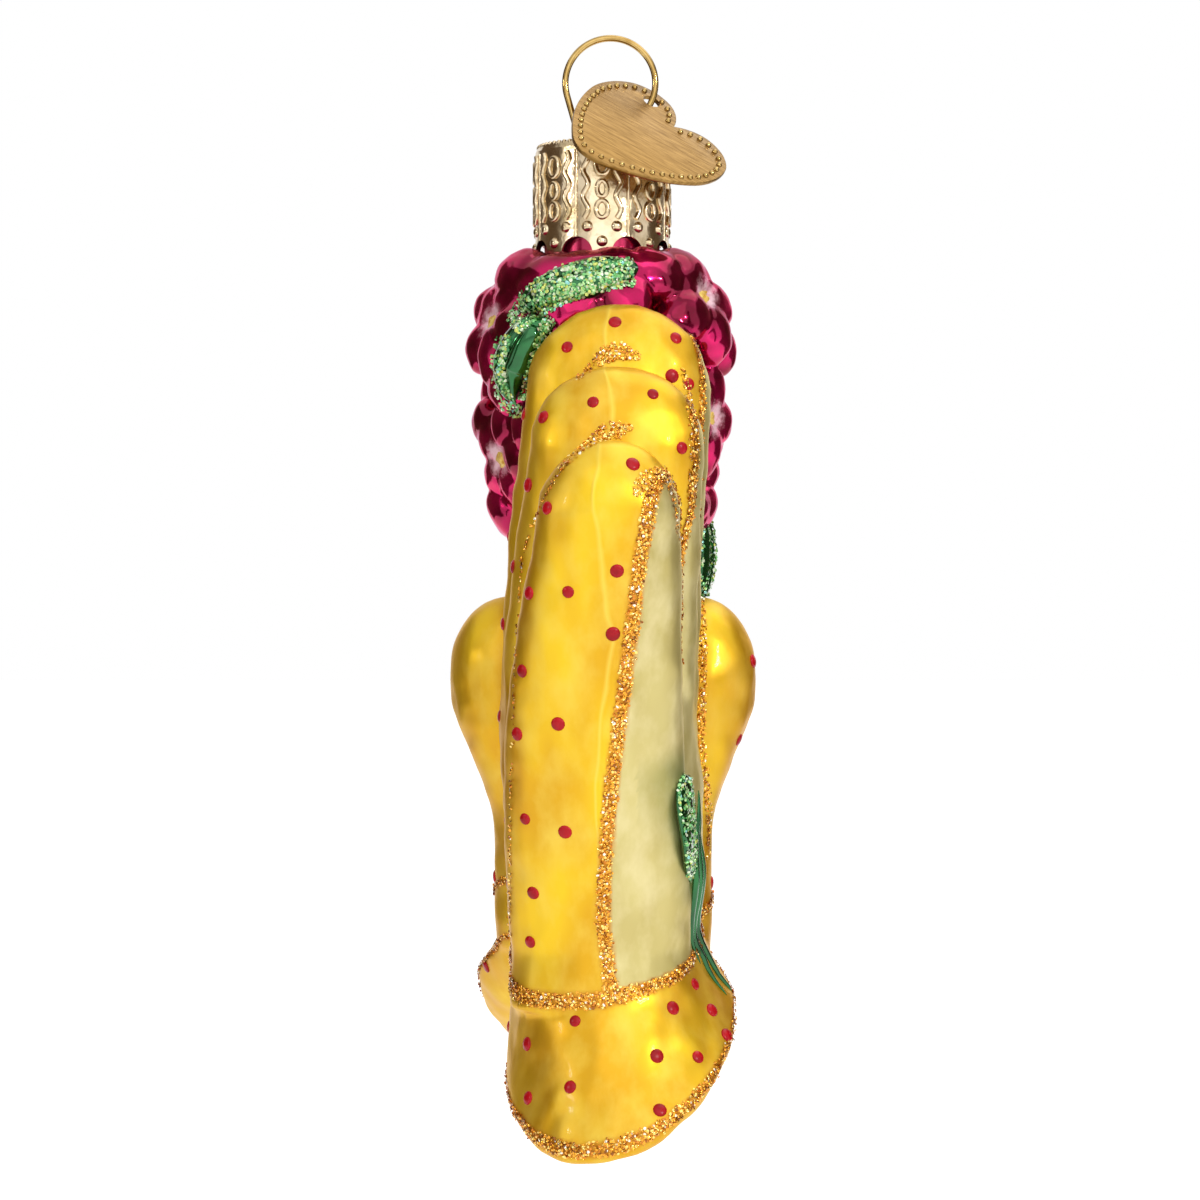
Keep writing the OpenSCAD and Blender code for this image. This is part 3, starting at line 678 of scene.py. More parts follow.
far_glove = settle_pair(near_glove, "far_glove_skin", pearl, GLOVE_NODES)
print("gloves", near_glove.name, far_glove.name)

# %% [markdown]
# Glitter is thousands of small bright flakes in clear lacquer. One flake is modelled as a flat six-sided
# cone, a little narrower one way, and copied to random points of the surface, where the lines are, with a
# small tilt of its own, so some flakes catch the light and others stay dark. A particle system would do it
# too, but a seeded list gives the same flakes on the same mesh. An operator may store the faces of a new mesh
# in any order, so the triangles are put in order before points are drawn on them. A remesh may still differ
# by a few faces from run to run, and the flakes then fall a little differently. Each flake keeps its own
# colour on its vertices.

# %% Flakes on a surface
def ordered_triangles(piece):
    corners = []
    for polygon in piece.data.polygons:
        ring = list(polygon.vertices)
        first = ring.index(min(ring))
        ring = ring[first:] + ring[:first]
        corners += [(ring[0], ring[k], ring[k + 1]) for k in range(1, len(ring) - 1)]
    return np.array(sorted(corners))


def surface_samples(piece, per_mm2, seed):
    tri = skin_points(piece)[ordered_triangles(piece)]
    cross = np.cross(tri[:, 1] - tri[:, 0], tri[:, 2] - tri[:, 0])
    area = np.linalg.norm(cross, axis=1) / 2
    rng = np.random.default_rng(seed)
    count = int(area.sum() * per_mm2)
    chosen = rng.choice(len(tri), count, p=area / area.sum())
    u, v = rng.random((2, count, 1))
    flip = u + v > 1
    u, v = np.where(flip, 1 - u, u), np.where(flip, 1 - v, v)
    spots = tri[chosen, 0] + u * (tri[chosen, 1] - tri[chosen, 0]) + v * (tri[chosen, 2] - tri[chosen, 0])
    normals = cross[chosen] / (2 * area[chosen, None] + 1e-12)
    return spots, normals


deselect()
bpy.ops.mesh.primitive_cone_add(vertices=6, radius1=1, radius2=0, depth=0.3, location=(0, 0, 0))
bpy.ops.object.mode_set(mode="EDIT")
bpy.ops.transform.resize(value=(1, 0.9, 1), center_override=(0, 0, 0))
bpy.ops.object.mode_set(mode="OBJECT")
flake = bpy.context.object
FLAKE_CO = np.array([v.co for v in flake.data.vertices])
FLAKE_FACES = [list(p.vertices) for p in flake.data.polygons]
bpy.data.objects.remove(flake)


def scatter(name, spots, normals, sizes, palette, seed, lift=(0.02, 0.22), tilt=0.42):
    rng = np.random.default_rng(seed)
    count = len(spots)
    lean = normals + rng.normal(0, tilt, (count, 3))
    lean /= np.linalg.norm(lean, axis=1)[:, None]
    side = np.cross(lean, rng.normal(size=(count, 3)))
    side /= np.linalg.norm(side, axis=1)[:, None]
    across = np.cross(lean, side)
    size = rng.uniform(*sizes, (count, 1, 1))
    base = spots + normals * rng.uniform(*lift, (count, 1))
    shape = FLAKE_CO[None] * size
    co = base[:, None]
    for k, way in enumerate((side, across, lean)):
        co = co + shape[..., k:k + 1] * way[:, None]
    step = len(FLAKE_CO)
    faces = [[v + k * step for v in face] for k in range(count) for face in FLAKE_FACES]
    mesh = bpy.data.meshes.new(name)
    mesh.from_pydata((co.reshape(-1, 3) * MM).tolist(), [], faces)
    weights = np.array([share for share, _ in palette])
    tones = np.array([tone for _, tone in palette])
    tone = tones[rng.choice(len(tones), count, p=weights / weights.sum())]
    layer = mesh.attributes.new("flake_tone", "FLOAT_COLOR", "POINT")
    layer.data.foreach_set("color", np.repeat(tone, step, axis=0).astype(np.float32).ravel())
    piece = bpy.data.objects.new(name, mesh)
    bpy.context.scene.collection.objects.link(piece)
    return piece


def flake_material(name, dark, share, rough, **sockets):
    material, tree, shader = new_material(name, Coat_Weight=0.5, **sockets)
    tone = add_node(tree, "ShaderNodeAttribute", attribute_name="flake_tone").outputs["Color"]
    shimmer = noise(tree, object_space(tree), 5200, 1.0)
    two_tone(tree, shader, shimmer, (0.35, 0.75, 0, share), tone, dark, rough)
    return material


glitter = flake_material(
    "gold_glitter", linear(176, 100, 14), 0.35, (0.12, 0.3), Metallic=0.85, Coat_Roughness=0.08
)
print("flake faces", len(FLAKE_FACES))

# %% [markdown]
# The gold glitter fills every line of the glove. Where a line was started with the brush, above two of the
# creases and at the little finger's tip, more glitter lies in patches, and a line runs down beside the thumb.
# These follow strokes of the photograph, each a few pixels with half a width. The thumb lies deeper than the
# edge of the hand, so its stroke leaves out the flakes that would land on that edge in front of it.

# %% Gold glitter of the gloves
GOLD_TONES = (
    (0.5, linear(238, 166, 36)),
    (0.2, linear(204, 122, 18)),
    (0.06, linear(138, 78, 10)),
    (0.2, linear(255, 222, 120)),
    (0.04, linear(255, 250, 226)),
)
STROKES = (
    ((632, 427, 2), (620, 430, 8), (608, 431, 9), (597, 437, 6), (580, 450, 3), (560, 470, 2)),
    ((640, 356, 3), (630, 355, 6), (618, 350, 9), (606, 354, 9), (594, 364, 4), (576, 380, 1.5)),
    (
        (562, 468, 1.4), (545, 497, 1), (531, 530, 0.9), (522, 560, 0.7), (516, 650, 0.5), (511, 800, 0.6),
        (510, 950, 1.2),
    ),
    (
        (636, 496, 3), (641, 484, 8), (649, 475, 7), (659, 472, 5), (668, 482, 3), (674, 500, 2),
        (679, 540, 1.5),
    ),
    ((682, 368, 1.5), (688, 390, 3), (693, 447, 3), (690, 500, 2), (688, 530, 1)),
)
THUMB_STROKE = (
    (701, 592, 3), (703, 640, 4), (702, 700, 4), (701, 745, 4), (704, 775, 4), (708, 800, 3), (708, 860, 2),
)
THUMB_FRONT_Y = -10.5
LINE_FLAKES = 42
STROKE_FLAKES = 0.3
LINE_RAG = 0.16
LINE_EDGE = 0.05
FLAKE_SIZE = (0.09, 0.155)


def first_seen(pieces, u, v):
    found = [f for f in (seen_on(piece, u, v) for piece in pieces) if f]
    return min(found, key=lambda f: f[0].y) if found else None


def stroke_spots(pieces, stroke, per_px2, seed):
    rng = random.Random(seed)
    spots, normals = [], []
    for (u0, v0, w0), (u1, v1, w1) in zip(stroke, stroke[1:]):
        length = math.hypot(u1 - u0, v1 - v0)
        for _ in range(int(length * (w0 + w1) * per_px2)):
            t = rng.random()
            across = rng.uniform(-1, 1) * lerp(w0, w1, t)
            u = lerp(u0, u1, t) - (v1 - v0) / length * across
            v = lerp(v0, v1, t) + (u1 - u0) / length * across
            found = first_seen(pieces, u, v)
            if found:
                spots.append(found[0] / MM)
                normals.append(found[1])
    return spots, normals


line_spots, line_normals = surface_samples(near_glove, LINE_FLAKES, 11)
_, on_line, _ = painted(line_spots)
ragged = np.random.default_rng(5).normal(0, LINE_RAG, len(line_spots))
kept = on_line + ragged > LINE_EDGE
line_spots, line_normals = list(line_spots[kept]), list(line_normals[kept])
for k, stroke in enumerate(STROKES):
    spots, normals = stroke_spots([near_glove], stroke, STROKE_FLAKES, 31 + k)
    line_spots += spots
    line_normals += normals
for spot, normal in zip(*stroke_spots([near_glove], THUMB_STROKE, STROKE_FLAKES, 43)):
    if spot.y > THUMB_FRONT_Y:
        line_spots.append(spot)
        line_normals.append(normal)
line_spots, line_normals = np.array(line_spots), np.array(line_normals)
near_glitter = scatter("near_piping_glitter", line_spots, line_normals, FLAKE_SIZE, GOLD_TONES, 7, tilt=0.3)
settle_pair(near_glitter, "far_piping_glitter", glitter, ("piping",), angle=30)
print("gold flakes on a glove", len(line_spots))

# %% [markdown]
# The dots of the glove's pattern are drops of red enamel. A drop is a small sphere that is flattened and
# sunk to its middle. The ones that the camera sees sit at their pixels of the photograph, and more of them
# follow on the hidden yellow sides, at a like distance from each other.

# %% Red enamel dots
DOT_PIXELS = (
    (567, 347), (615, 322), (676, 338), (634, 304), (524, 414), (543, 417), (593, 402), (653, 394),
    (672, 376), (689, 384), (682, 448), (528, 485), (508, 529), (503, 624), (633, 464), (547, 508),
    (617, 571), (568, 592), (529, 593), (613, 634), (522, 671), (558, 724), (517, 734), (525, 819),
    (565, 832), (533, 893), (530, 942), (575, 1021), (527, 1044), (570, 1087), (528, 1098), (657, 1056),
    (660, 1110), (673, 1008), (695, 984), (712, 1010), (698, 1057), (722, 946), (727, 1035), (753, 661),
    (755, 705),
)
DOT_GAP = 6.2
DOT_RISE = 0.36
SEEN_R = (0.5, 0.64)
HIDDEN_R = (0.46, 0.6)
deselect()
bpy.ops.mesh.primitive_uv_sphere_add(segments=14, ring_count=8, radius=1, location=(0, 0, 0))
bpy.ops.object.mode_set(mode="EDIT")
bpy.ops.transform.resize(value=(1, 1, DOT_RISE), center_override=(0, 0, 0))
bpy.ops.object.mode_set(mode="OBJECT")
drop = bpy.context.object


def drop_place(spot, normal, radius):
    turn = Vector(normal).to_track_quat("Z", "Y").to_matrix().to_4x4()
    return Matrix.Translation(Vector(spot) * MM) @ turn @ Matrix.Scale(radius * MM, 4)


rng = random.Random(3)
drop_places, centres = [], []
for u, v in DOT_PIXELS:
    found = seen_on(near_glove, u, v)
    if found:
        centres.append(np.array(found[0] / MM))
        drop_places.append(drop_place(centres[-1], found[1], rng.uniform(*SEEN_R)))
spare_spots, spare_normals = surface_samples(near_glove, 1.2, 23)
spare_depth, spare_line, _ = painted(spare_spots)
unseen = (spare_depth < -1.6) & (spare_line < -0.6)
unseen &= (spare_normals[:, 1] > -0.25) & (spare_spots[:, 1] < -3.0) & (spare_normals[:, 2] > -0.5)
for spot, normal in zip(spare_spots[unseen], spare_normals[unseen]):
    if min(np.linalg.norm(spot - c) for c in centres) > DOT_GAP:
        centres.append(spot)
        drop_places.append(drop_place(spot, normal, rng.uniform(*HIDDEN_R)))
near_dots = join("near_enamel_dots", copies_of(drop, drop_places))

enamel, tree, shader = new_material("red_enamel", Specular_IOR_Level=0.25)
blot = noise(tree, object_space(tree), 700, 2.0)
two_tone(tree, shader, blot, (0.35, 0.7), linear(204, 16, 32), linear(156, 8, 22), (0.2, 0.34))
settle_pair(near_dots, "far_enamel_dots", enamel)
print("dots on a glove", len(centres))

# %% [markdown]
# The bunch is a core of blown glass that is crowded with petals. On each face four flower heads have five
# petals round a heart. The heads stand as far out as the photograph's outline shows. Each petal starts as a
# sphere that is pressed flat and turned to its place, and a remesh will melt them all together.

# %% Flower bunch
BUNCH_H = 27.0
BUNCH_T = 17.5
BUNCH_W = 20.0
FLOWER_PLACES = ((-0.34, -0.17, 1.7), (0.32, -0.25, 1.1), (-0.3, -0.54, -0.3), (0.3, -0.66, -0.5))
PETAL_RING = 3.0
PETAL_LEAN = 0.3


def flower_frame(place, half_turn):
    y = place[0] * BUNCH_W / 2
    z = place[1] * BUNCH_H
    inside = 1 - (2 * y / BUNCH_W) ** 2 - ((z + BUNCH_H / 2) * 2 / BUNCH_H) ** 2
    x = BUNCH_T / 2 * math.sqrt(max(0.06, inside)) + place[2]
    tilt = math.radians(90 - 40 * (2 * place[1] + 1))
    turn = Matrix.Rotation(math.radians(90 * place[0]), 4, "Z") @ Matrix.Rotation(tilt, 4, "Y")
    local = Matrix.Rotation(math.pi * half_turn, 4, "Z") @ Matrix.Translation((x, y, z)) @ turn
    return Matrix.Translation((AXIS_X, 0, GLASS_Z)) @ local


flower_frames = [flower_frame(p, turn) for turn in (0, 1) for p in FLOWER_PLACES]


def petal(place, turn, size):
    bpy.ops.mesh.primitive_uv_sphere_add(segments=24, ring_count=14, radius=MM, location=Vector(place) * MM)
    made = bpy.context.object
    made.rotation_euler = turn
    made.scale = size
    bpy.ops.object.transform_apply(location=True, rotation=True, scale=True)
    return made


def half_turn_of(spot):
    return Vector((2 * AXIS_X - spot.x, -spot.y, spot.z))


CORE_SIZE = (9.0, 9.6, 14.0)
CORE_Z = GLASS_Z - 14.2
deselect()
lumps, petal_spots = [], []
rng = random.Random(17)
for flower in flower_frames[:len(FLOWER_PLACES)]:
    for k in range(5):
        turn = Matrix.Rotation(2 * math.pi * (k + 0.2) / 5, 4, "Z")
        lean = Matrix.Rotation(PETAL_LEAN, 4, "Y")
        spot = flower @ turn @ Matrix.Translation((PETAL_RING, 0, 0.4)) @ lean
        size = (2.9 * rng.uniform(0.95, 1.08), 2.5 * rng.uniform(0.92, 1.05), 2.0)
        lumps.append(petal(spot.translation, spot.to_euler(), size))
        petal_spots += [spot.translation, half_turn_of(spot.translation)]
print("flower petals on a side", len(lumps))

# %% [markdown]
# Between the flowers and round the shoulder under the cap, looser petals stand in rows. A petal is left out
# where it would crowd one that is there already. Half of the bunch is modelled, and a copy is turned half
# round. Then a remesh melts all of it together, smoothing rounds the creases, and a cloud texture ripples
# the petals. A cloth simulation would be slower, and blown glass has no thin edges anyway.

# %% Petals between the flowers, and one skin
PETAL_ROWS = (
    (-21.6, 7.7, 7, 1.6), (-24.4, 9.3, 6, 2.4), (-27.4, 9.8, 6, 2.8), (-30.6, 9.9, 6, 2.8),
    (-34.4, 9.7, 6, 2.8), (-38.4, 9.2, 5, 2.8), (-42.2, 8.0, 5, 2.8),
)
for row, (z, radius, count, room) in enumerate(PETAL_ROWS):
    for k in range(count):
        turn = math.pi * (k + 0.5 * (row % 2) + rng.uniform(-0.2, 0.2)) / count - math.pi
        x, y = radius * math.cos(turn), radius * math.sin(turn)
        spot = Vector((AXIS_X + x, y, z + rng.uniform(-0.6, 0.4)))
        if min((spot - p).length for p in petal_spots) > room:
            rise = math.radians(90) - math.atan2(z - CORE_Z, radius) * 0.8
            size = (2.7 * rng.uniform(0.9, 1.15), 3.2 * rng.uniform(0.9, 1.15), 2.0)
            lumps.append(petal(spot, (0, rise, turn), size))
            petal_spots += [spot, half_turn_of(spot)]
half_bunch = join("half_bunch", lumps)
other_half = turned_copy(half_bunch, "other_half")
bunch = join("flower_bunch_skin", [petal((AXIS_X, 0, CORE_Z), (0, 0, 0), CORE_SIZE), half_bunch, other_half])
finish_modifier(bunch, "REMESH", mode="VOXEL", voxel_size=0.24 * MM, adaptivity=0.0)
finish_modifier(bunch, "SMOOTH", factor=0.5, iterations=6)
roughen(bunch, "petal_wave", "CLOUDS", 2.4, 0.36)
print("petals", len(petal_spots), "bunch faces", len(bunch.data.polygons))

# %% [markdown]
# The petals are a transparent magenta coat on silver, so they shine like coloured mirrors. Sugar-like frost
# lies round the hearts of the flowers. How near a vertex is to a heart is stored on it, and noise breaks the
# border of the frost.

# %% Magenta mirror with frost
points = skin_points(bunch)
hearts = np.array([f.translation + f.to_3x3() @ Vector((0, 0, 1.9)) for f in flower_frames])
reach = np.min(np.linalg.norm(points[:, None] - hearts[None], axis=2), axis=1)
store(bunch, "frost", np.clip(1.35 - reach / 2.3, 0, 1))

mirror, tree, shader = new_material(
    "magenta_mirror", Coat_Weight=0.3, Coat_Roughness=0.05, Specular_Tint=(0.9, 0.2, 0.45, 1)
)
frost_break = noise(tree, object_space(tree), 900, 5.0, 0.7)
frost = math_of(tree, "MULTIPLY", painted_area(tree, "frost"), frost_break)
frost = spread(tree, frost, 0.24, 0.5, 0, 0.85)
depth_tone = noise(tree, object_space(tree), 240, 2.0)
petal_tone = mix(tree, spread(tree, depth_tone, 0.35, 0.62), linear(208, 22, 96), linear(122, 6, 44))
petal_tone = mix(tree, frost, petal_tone, linear(246, 214, 222))
tree.links.new(petal_tone, shader.inputs["Base Color"])
tree.links.new(spread(tree, frost, 0, 1, 0.85, 0.1), shader.inputs["Metallic"])
tree.links.new(spread(tree, frost, 0, 1, 0.15, 0.6), shader.inputs["Roughness"])
bump(tree, shader, noise(tree, object_space(tree), 1800, 2.0), 0.1, 0.05 * MM)
settle(bunch, mirror, "glass", ["flower_bunch"])

# %% [markdown]
# Each flower has a heart of yellow pollen. It is a low dome whose surface is a crowd of grains, modelled from
# an icosphere that is pressed flat and roughened by a stucci texture.

# %% Flower hearts
HEART_R = 1.6
HEART_FLAT = 0.75
HEART_RISE = 0.9
heart_pieces = []
for flower in flower_frames:
    deselect()
    spot = flower @ Matrix.Translation((0, 0, HEART_RISE))
    bpy.ops.mesh.primitive_ico_sphere_add(subdivisions=5, radius=HEART_R * MM, location=spot.translation * MM)
    heart = bpy.context.object
    heart.rotation_euler = spot.to_euler()
    heart.scale = (1, 1, HEART_FLAT)
    bpy.ops.object.transform_apply(location=True, rotation=True, scale=True)
    heart_pieces.append(heart)
flower_hearts = join("flower_hearts_pollen", heart_pieces)
roughen(flower_hearts, "pollen_rough", "STUCCI", 0.5, 0.3, 0.6)
pollen, tree, shader = new_material("pollen_frost", Coat_Weight=0.2, Metallic=0.2)
grains = noise(tree, object_space(tree), 1500, 3.0)
two_tone(tree, shader, grains, (0.35, 0.65), linear(214, 150, 20), linear(250, 226, 120), (0.35, 0.6))
bump(tree, shader, grains, 0.4, 0.1 * MM)
settle(flower_hearts, pollen, "glass", ["flower_hearts"])

# %% [markdown]
# A leaf is a plump blade of green glass with a midrib, laid on the bunch. It is drawn along a line on the
# surface: a sphere is stretched along that line, its width follows the outline of a leaf, and the rib is a
# groove down its middle. The line comes from pixels of the photograph where the camera sees the leaf.

# %% Leaf along a line
def surface_line(piece, pixels, steps=16):
    keys = [seen_on(piece, u, v) for u, v in pixels]
    spots = smooth_through([tuple(k[0] / MM) for k in keys], steps)
    normals = smooth_through([tuple(k[1]) for k in keys], steps)
    return np.array(spots), np.array(normals)


def leaf_along(name, spots, normals, half_wide, thick, vein=0.35):
    deselect()
    bpy.ops.mesh.primitive_uv_sphere_add(segments=48, ring_count=40, radius=1, location=(0, 0, 0))
    leaf = bpy.context.object
    leaf.name = name
    last = len(spots) - 1
    for vertex in leaf.data.vertices:
        across, up, along = vertex.co
        share = (along + 1) / 2 * last
        k = min(int(share), last - 1)
        t = share - k
        spot = lerp(spots[k], spots[k + 1], t)
        out = lerp(normals[k], normals[k + 1], t)
        out /= np.linalg.norm(out)
        ahead = spots[k + 1] - spots[k]
        side = np.cross(out, ahead)
        side /= np.linalg.norm(side)
        groove = vein * math.exp(-(across / 0.16) ** 2) if up > 0 else 0
        across *= max(1 - along * along, 0) ** 0.25
        vertex.co = Vector(spot + side * across * half_wide + out * (up - groove * up) * thick) * MM
    return leaf


UPPER_LEAF = ((518, 312), (545, 292), (580, 281), (612, 273), (638, 268))
LOWER_LEAF = ((552, 322), (533, 334), (519, 354), (512, 378), (515, 400))
upper_leaf = leaf_along("upper_leaf", *surface_line(bunch, UPPER_LEAF), 2.0, 1.5, 0.3)
lower_leaf = leaf_along("lower_leaf", *surface_line(bunch, LOWER_LEAF), 2.1, 1.9, 0.3)
HANGING_KEYS = ((7.7, -0.4, -41.4), (8.3, -0.8, -44.4), (8.1, -1.2, -48.4), (7.1, -1.6, -51.6))
hanging_spots = np.array(smooth_through(HANGING_KEYS, 12))
hanging_normals = np.tile((0.94, -0.34, 0.0), (len(hanging_spots), 1))
hanging_leaf = leaf_along("hanging_leaf", hanging_spots, hanging_normals, 2.0, 0.9, 0.3)
leaf_parts = [upper_leaf, lower_leaf]
print("leaves on a side", len(leaf_parts))

# %% [markdown]
# The leaves are dark transparent green over silver, and flakes of mint and pale yellow glitter are strewn on
# them: all over the upper leaf, and along the border of the others. The same six-sided flake is used.

# %% Leaf glass and its glitter
leaf_glass, tree, shader = new_material("leaf_mirror", Metallic=0.8, Coat_Weight=0.7, Coat_Roughness=0.05)
leaf_tone = noise(tree, object_space(tree), 330, 3.0)
two_tone(tree, shader, leaf_tone, (0.35, 0.7), linear(4, 72, 28), linear(14, 110, 46), (0.07, 0.18))
bump(tree, shader, noise(tree, object_space(tree), 1500, 3.0), 0.15, 0.06 * MM)

MINT_TONES = (
    (0.3, linear(122, 204, 116)),
    (0.24, linear(184, 232, 152)),
    (0.2, linear(236, 250, 214)),
    (0.1, linear(52, 146, 74)),
    (0.12, linear(220, 228, 110)),
    (0.04, linear(160, 232, 224)),
)


def leaf_flakes(piece, per_mm2, border, seed, facing):
    spots, normals = surface_samples(piece, per_mm2, seed)
    slope = normals @ np.array(facing)
    outward = (slope > 0.15) & (slope < border)
    return spots[outward], normals[outward]


MINT_STROKES = (
    ((634, 272, 14), (600, 275, 17), (565, 283, 19), (535, 301, 17), (512, 328, 10)),
    ((505, 335, 7), (498, 360, 7), (499, 385, 7), (509, 407, 8), (530, 418, 4)),
    ((550, 316, 8), (539, 342, 5), (531, 372, 5), (524, 400, 6)),
)
MINT_SIZE = (0.11, 0.2)
leaf_spots, leaf_normals = [], []
for k, stroke in enumerate(MINT_STROKES):
    spots, normals = stroke_spots([upper_leaf, lower_leaf, bunch], stroke, 0.26, 61 + k)
    leaf_spots += spots
    leaf_normals += normals
leaf_spots, leaf_normals = np.array(leaf_spots), np.array(leaf_normals)
near_leaf_glitter = scatter(
    "near_leaf_glitter", leaf_spots, leaf_normals, MINT_SIZE, MINT_TONES, 13, lift=(0.0, 0.16), tilt=0.3
)
spots, normals = leaf_flakes(hanging_leaf, 16, 0.97, 47, (0.8, -0.6, 0))
near_hanging_glitter = scatter("near_hanging_glitter", spots, normals, MINT_SIZE, MINT_TONES, 15)
mint = flake_material(
    "mint_glitter", linear(30, 110, 52), 0.3, (0.16, 0.34), Metallic=0.35, Coat_Roughness=0.1
)
leaves = join("bouquet_leaves_near", leaf_parts)
far_leaves = turned_copy(leaves, "bouquet_leaves_far")
settle(leaves, leaf_glass, "glass", ["bouquet_leaves"])
settle(far_leaves, leaf_glass, "glass")
settle_pair(near_leaf_glitter, "far_leaf_glitter", mint, angle=30)
FAR_TUCK = 2.4
for piece, name, look, angle in (
    (hanging_leaf, "hanging_leaf_far", leaf_glass, None),
    (near_hanging_glitter, "far_hanging_glitter", mint, 30),
):
    far_piece = turned_copy(piece, name)
    far_piece.data.transform(Matrix.Translation((FAR_TUCK * MM, 0, 0)))
    settle(piece, look, "glass", angle=angle)
    settle(far_piece, look, "glass", angle=angle)
print("mint flakes on a side", len(leaf_spots))

# %% [markdown]
# Under the bunch the flower stems run down between the two hands. They are round rods in a loose bundle that
# narrows to the wrists. Each rod is a circle that is extruded from section to section, as the fingers were.

# %% Stem bundle
STEM_TOP = GLASS_Z - 22.0
STEM_FOOT = WRIST_Z + 3.0
STEM_PLACES = (
    (0, 0), (3.9, 0.5), (-3.9, -0.5), (2.1, 1.9), (-2.1, -1.9), (2.1, -1.9), (-2.1, 1.9), (4.2, -1.4),
    (-4.2, 1.4),
)
STEM_R = 1.35
STEM_SWAY = 0.25
stems = []
for k, (x, y) in enumerate(STEM_PLACES):
    sections = []
    for t in np.linspace(0, 1, 12):
        waist = 0.7 + 0.3 * t
        sway = STEM_SWAY * math.sin(5 * t + k)
        radius = STEM_R * (0.8 + 0.2 * t)
        sections.append((AXIS_X + x * waist + sway, y * waist, lerp(STEM_FOOT, STEM_TOP, t), radius, radius))
    stems.append(loft(sections, flats=16))
stem_bundle = join("stem_bundle_rods", stems)
settle(stem_bundle, leaf_glass, "glass", ["stem_bundle"], angle=50)

# %% [markdown]
# On each palm a painted sprig crosses from the hand to the cuff: one leaf with glitter and three thin stems.
# They are raised lacquer, so each is drawn along a line on the skin, as the leaves of the bunch were. The
# leaf's line comes from its pixels. The stems lie where the camera sees the palm from its edge, so their
# lines are found from the front.

# %% Sprig on the palm
def from_front(y, z):
    start = Vector((60, y, z)) * MM
    hit, spot, normal, _ = near_glove.ray_cast(start, Vector((-1, 0, 0)))
    return (np.array(spot / MM), np.array(normal)) if hit else None


def front_line(ends, bow, steps=14):
    (y0, z0), (y1, z1) = ends
    shares = [k / steps for k in range(steps + 1)]
    found = [from_front(lerp(y0, y1, t) - bow * math.sin(math.pi * t), lerp(z0, z1, t)) for t in shares]
    found = [f for f in found if f]
    return np.array([f[0] for f in found]), np.array([f[1] for f in found])


SPRIG_STEMS = (
    ((-14.2, -66.5), (-12.8, -81.5)),
    ((-13.6, -68.0), (-11.2, -84.4)),
    ((-13.0, -70.0), (-9.2, -85.0)),
)
STEM_BOW = 0.6
leaf_line, leaf_turns = surface_line(near_glove, SPRIG_LEAF)
sprig_parts = [leaf_along("sprig_leaf", leaf_line, leaf_turns, 2.5, 0.6, 0.3)]
for ends in SPRIG_STEMS:
    sprig_parts.append(leaf_along("sprig_stem", *front_line(ends, STEM_BOW), 0.42, 0.42, 0.0))
spots, normals = leaf_flakes(sprig_parts[0], 15, 0.985, 53, leaf_turns.mean(axis=0))
near_sprig_glitter = scatter(
    "near_sprig_glitter", spots, normals, MINT_SIZE, MINT_TONES, 19, lift=(0.0, 0.14)
)
near_sprig = join("near_sprig_lacquer", sprig_parts)
settle_pair(near_sprig, "far_sprig_lacquer", leaf_glass, ("sprig",))
settle_pair(near_sprig_glitter, "far_sprig_glitter", mint, angle=30)

# %% [markdown]
# The hanger is one spring wire: two legs in the neck, a knee through each hole of the cap, and the round
# loop. The wire follows the same points as the solid one, as a curve with a round bevel, made a mesh at the
# end. An extruded circle would do too, but it would pinch at the knees.

# %% Hanger wire
CAP_TOP = -9.45
LOOP_R = 4.05
LOOP_RISE = 5.7
LOOP_X = LOOP_RISE * math.tan(math.radians(7.5))
LEG_X = 1.9
LEG_FOOT_X = 3.85
LEG_TOP = 0.2
KNEE_Z = -1.85
LEG_LEN = 13.0
KNEE_R = 0.8
WIRE_R = 0.3


def swept_line(name, points, radius, facets):
    deselect()
    curve = bpy.data.curves.new(name, "CURVE")
    curve.dimensions = "3D"
    curve.bevel_depth = radius * MM
    curve.bevel_resolution = facets
    curve.use_fill_caps = True
    spline = curve.splines.new("POLY")
    spline.points.add(len(points) - 1)
    for point, spot in zip(spline.points, points):
        point.co = (*spot, 1)
    made = bpy.data.objects.new(name, curve)
    bpy.context.scene.collection.objects.link(made)
    pick(made)
    bpy.ops.object.convert(target="MESH")
    return bpy.context.object


def corner(before, at, after):
    a, b, c = (np.array(p, float) for p in (before, at, after))
    start = b + (a - b) / np.linalg.norm(a - b) * KNEE_R
    end = b + (c - b) / np.linalg.norm(c - b) * KNEE_R
    return [tuple(start * (1 - t) ** 2 + b * 2 * t * (1 - t) + end * t * t) for t in np.linspace(0, 1, 7)]


def side_slope(side):
    dx, dz = side * LOOP_X - LEG_X, LOOP_RISE - LEG_TOP
    return math.atan2(dx, dz) + math.asin(LOOP_R / math.hypot(dx, dz))


turns = np.linspace(-side_slope(1), math.pi + side_slope(-1), 73)
arc = [(LOOP_X + LOOP_R * math.cos(a), LOOP_RISE + LOOP_R * math.sin(a)) for a in turns]
right = [(LEG_FOOT_X, -LEG_LEN), (LEG_X, KNEE_Z), (LEG_X, LEG_TOP)]
left = [(-x, z) for x, z in right]
path = [right[0]] + corner(*right) + corner(right[1], right[2], arc[0]) + arc
path += corner(arc[-1], left[2], left[1]) + corner(left[2], left[1], left[0]) + [left[0]]
wire_spots = [((x - LOOP_X) * MM, 0, (z + CAP_TOP) * MM) for x, z in path]
wire = swept_line("hanger_wire_round", wire_spots, WIRE_R, 5)

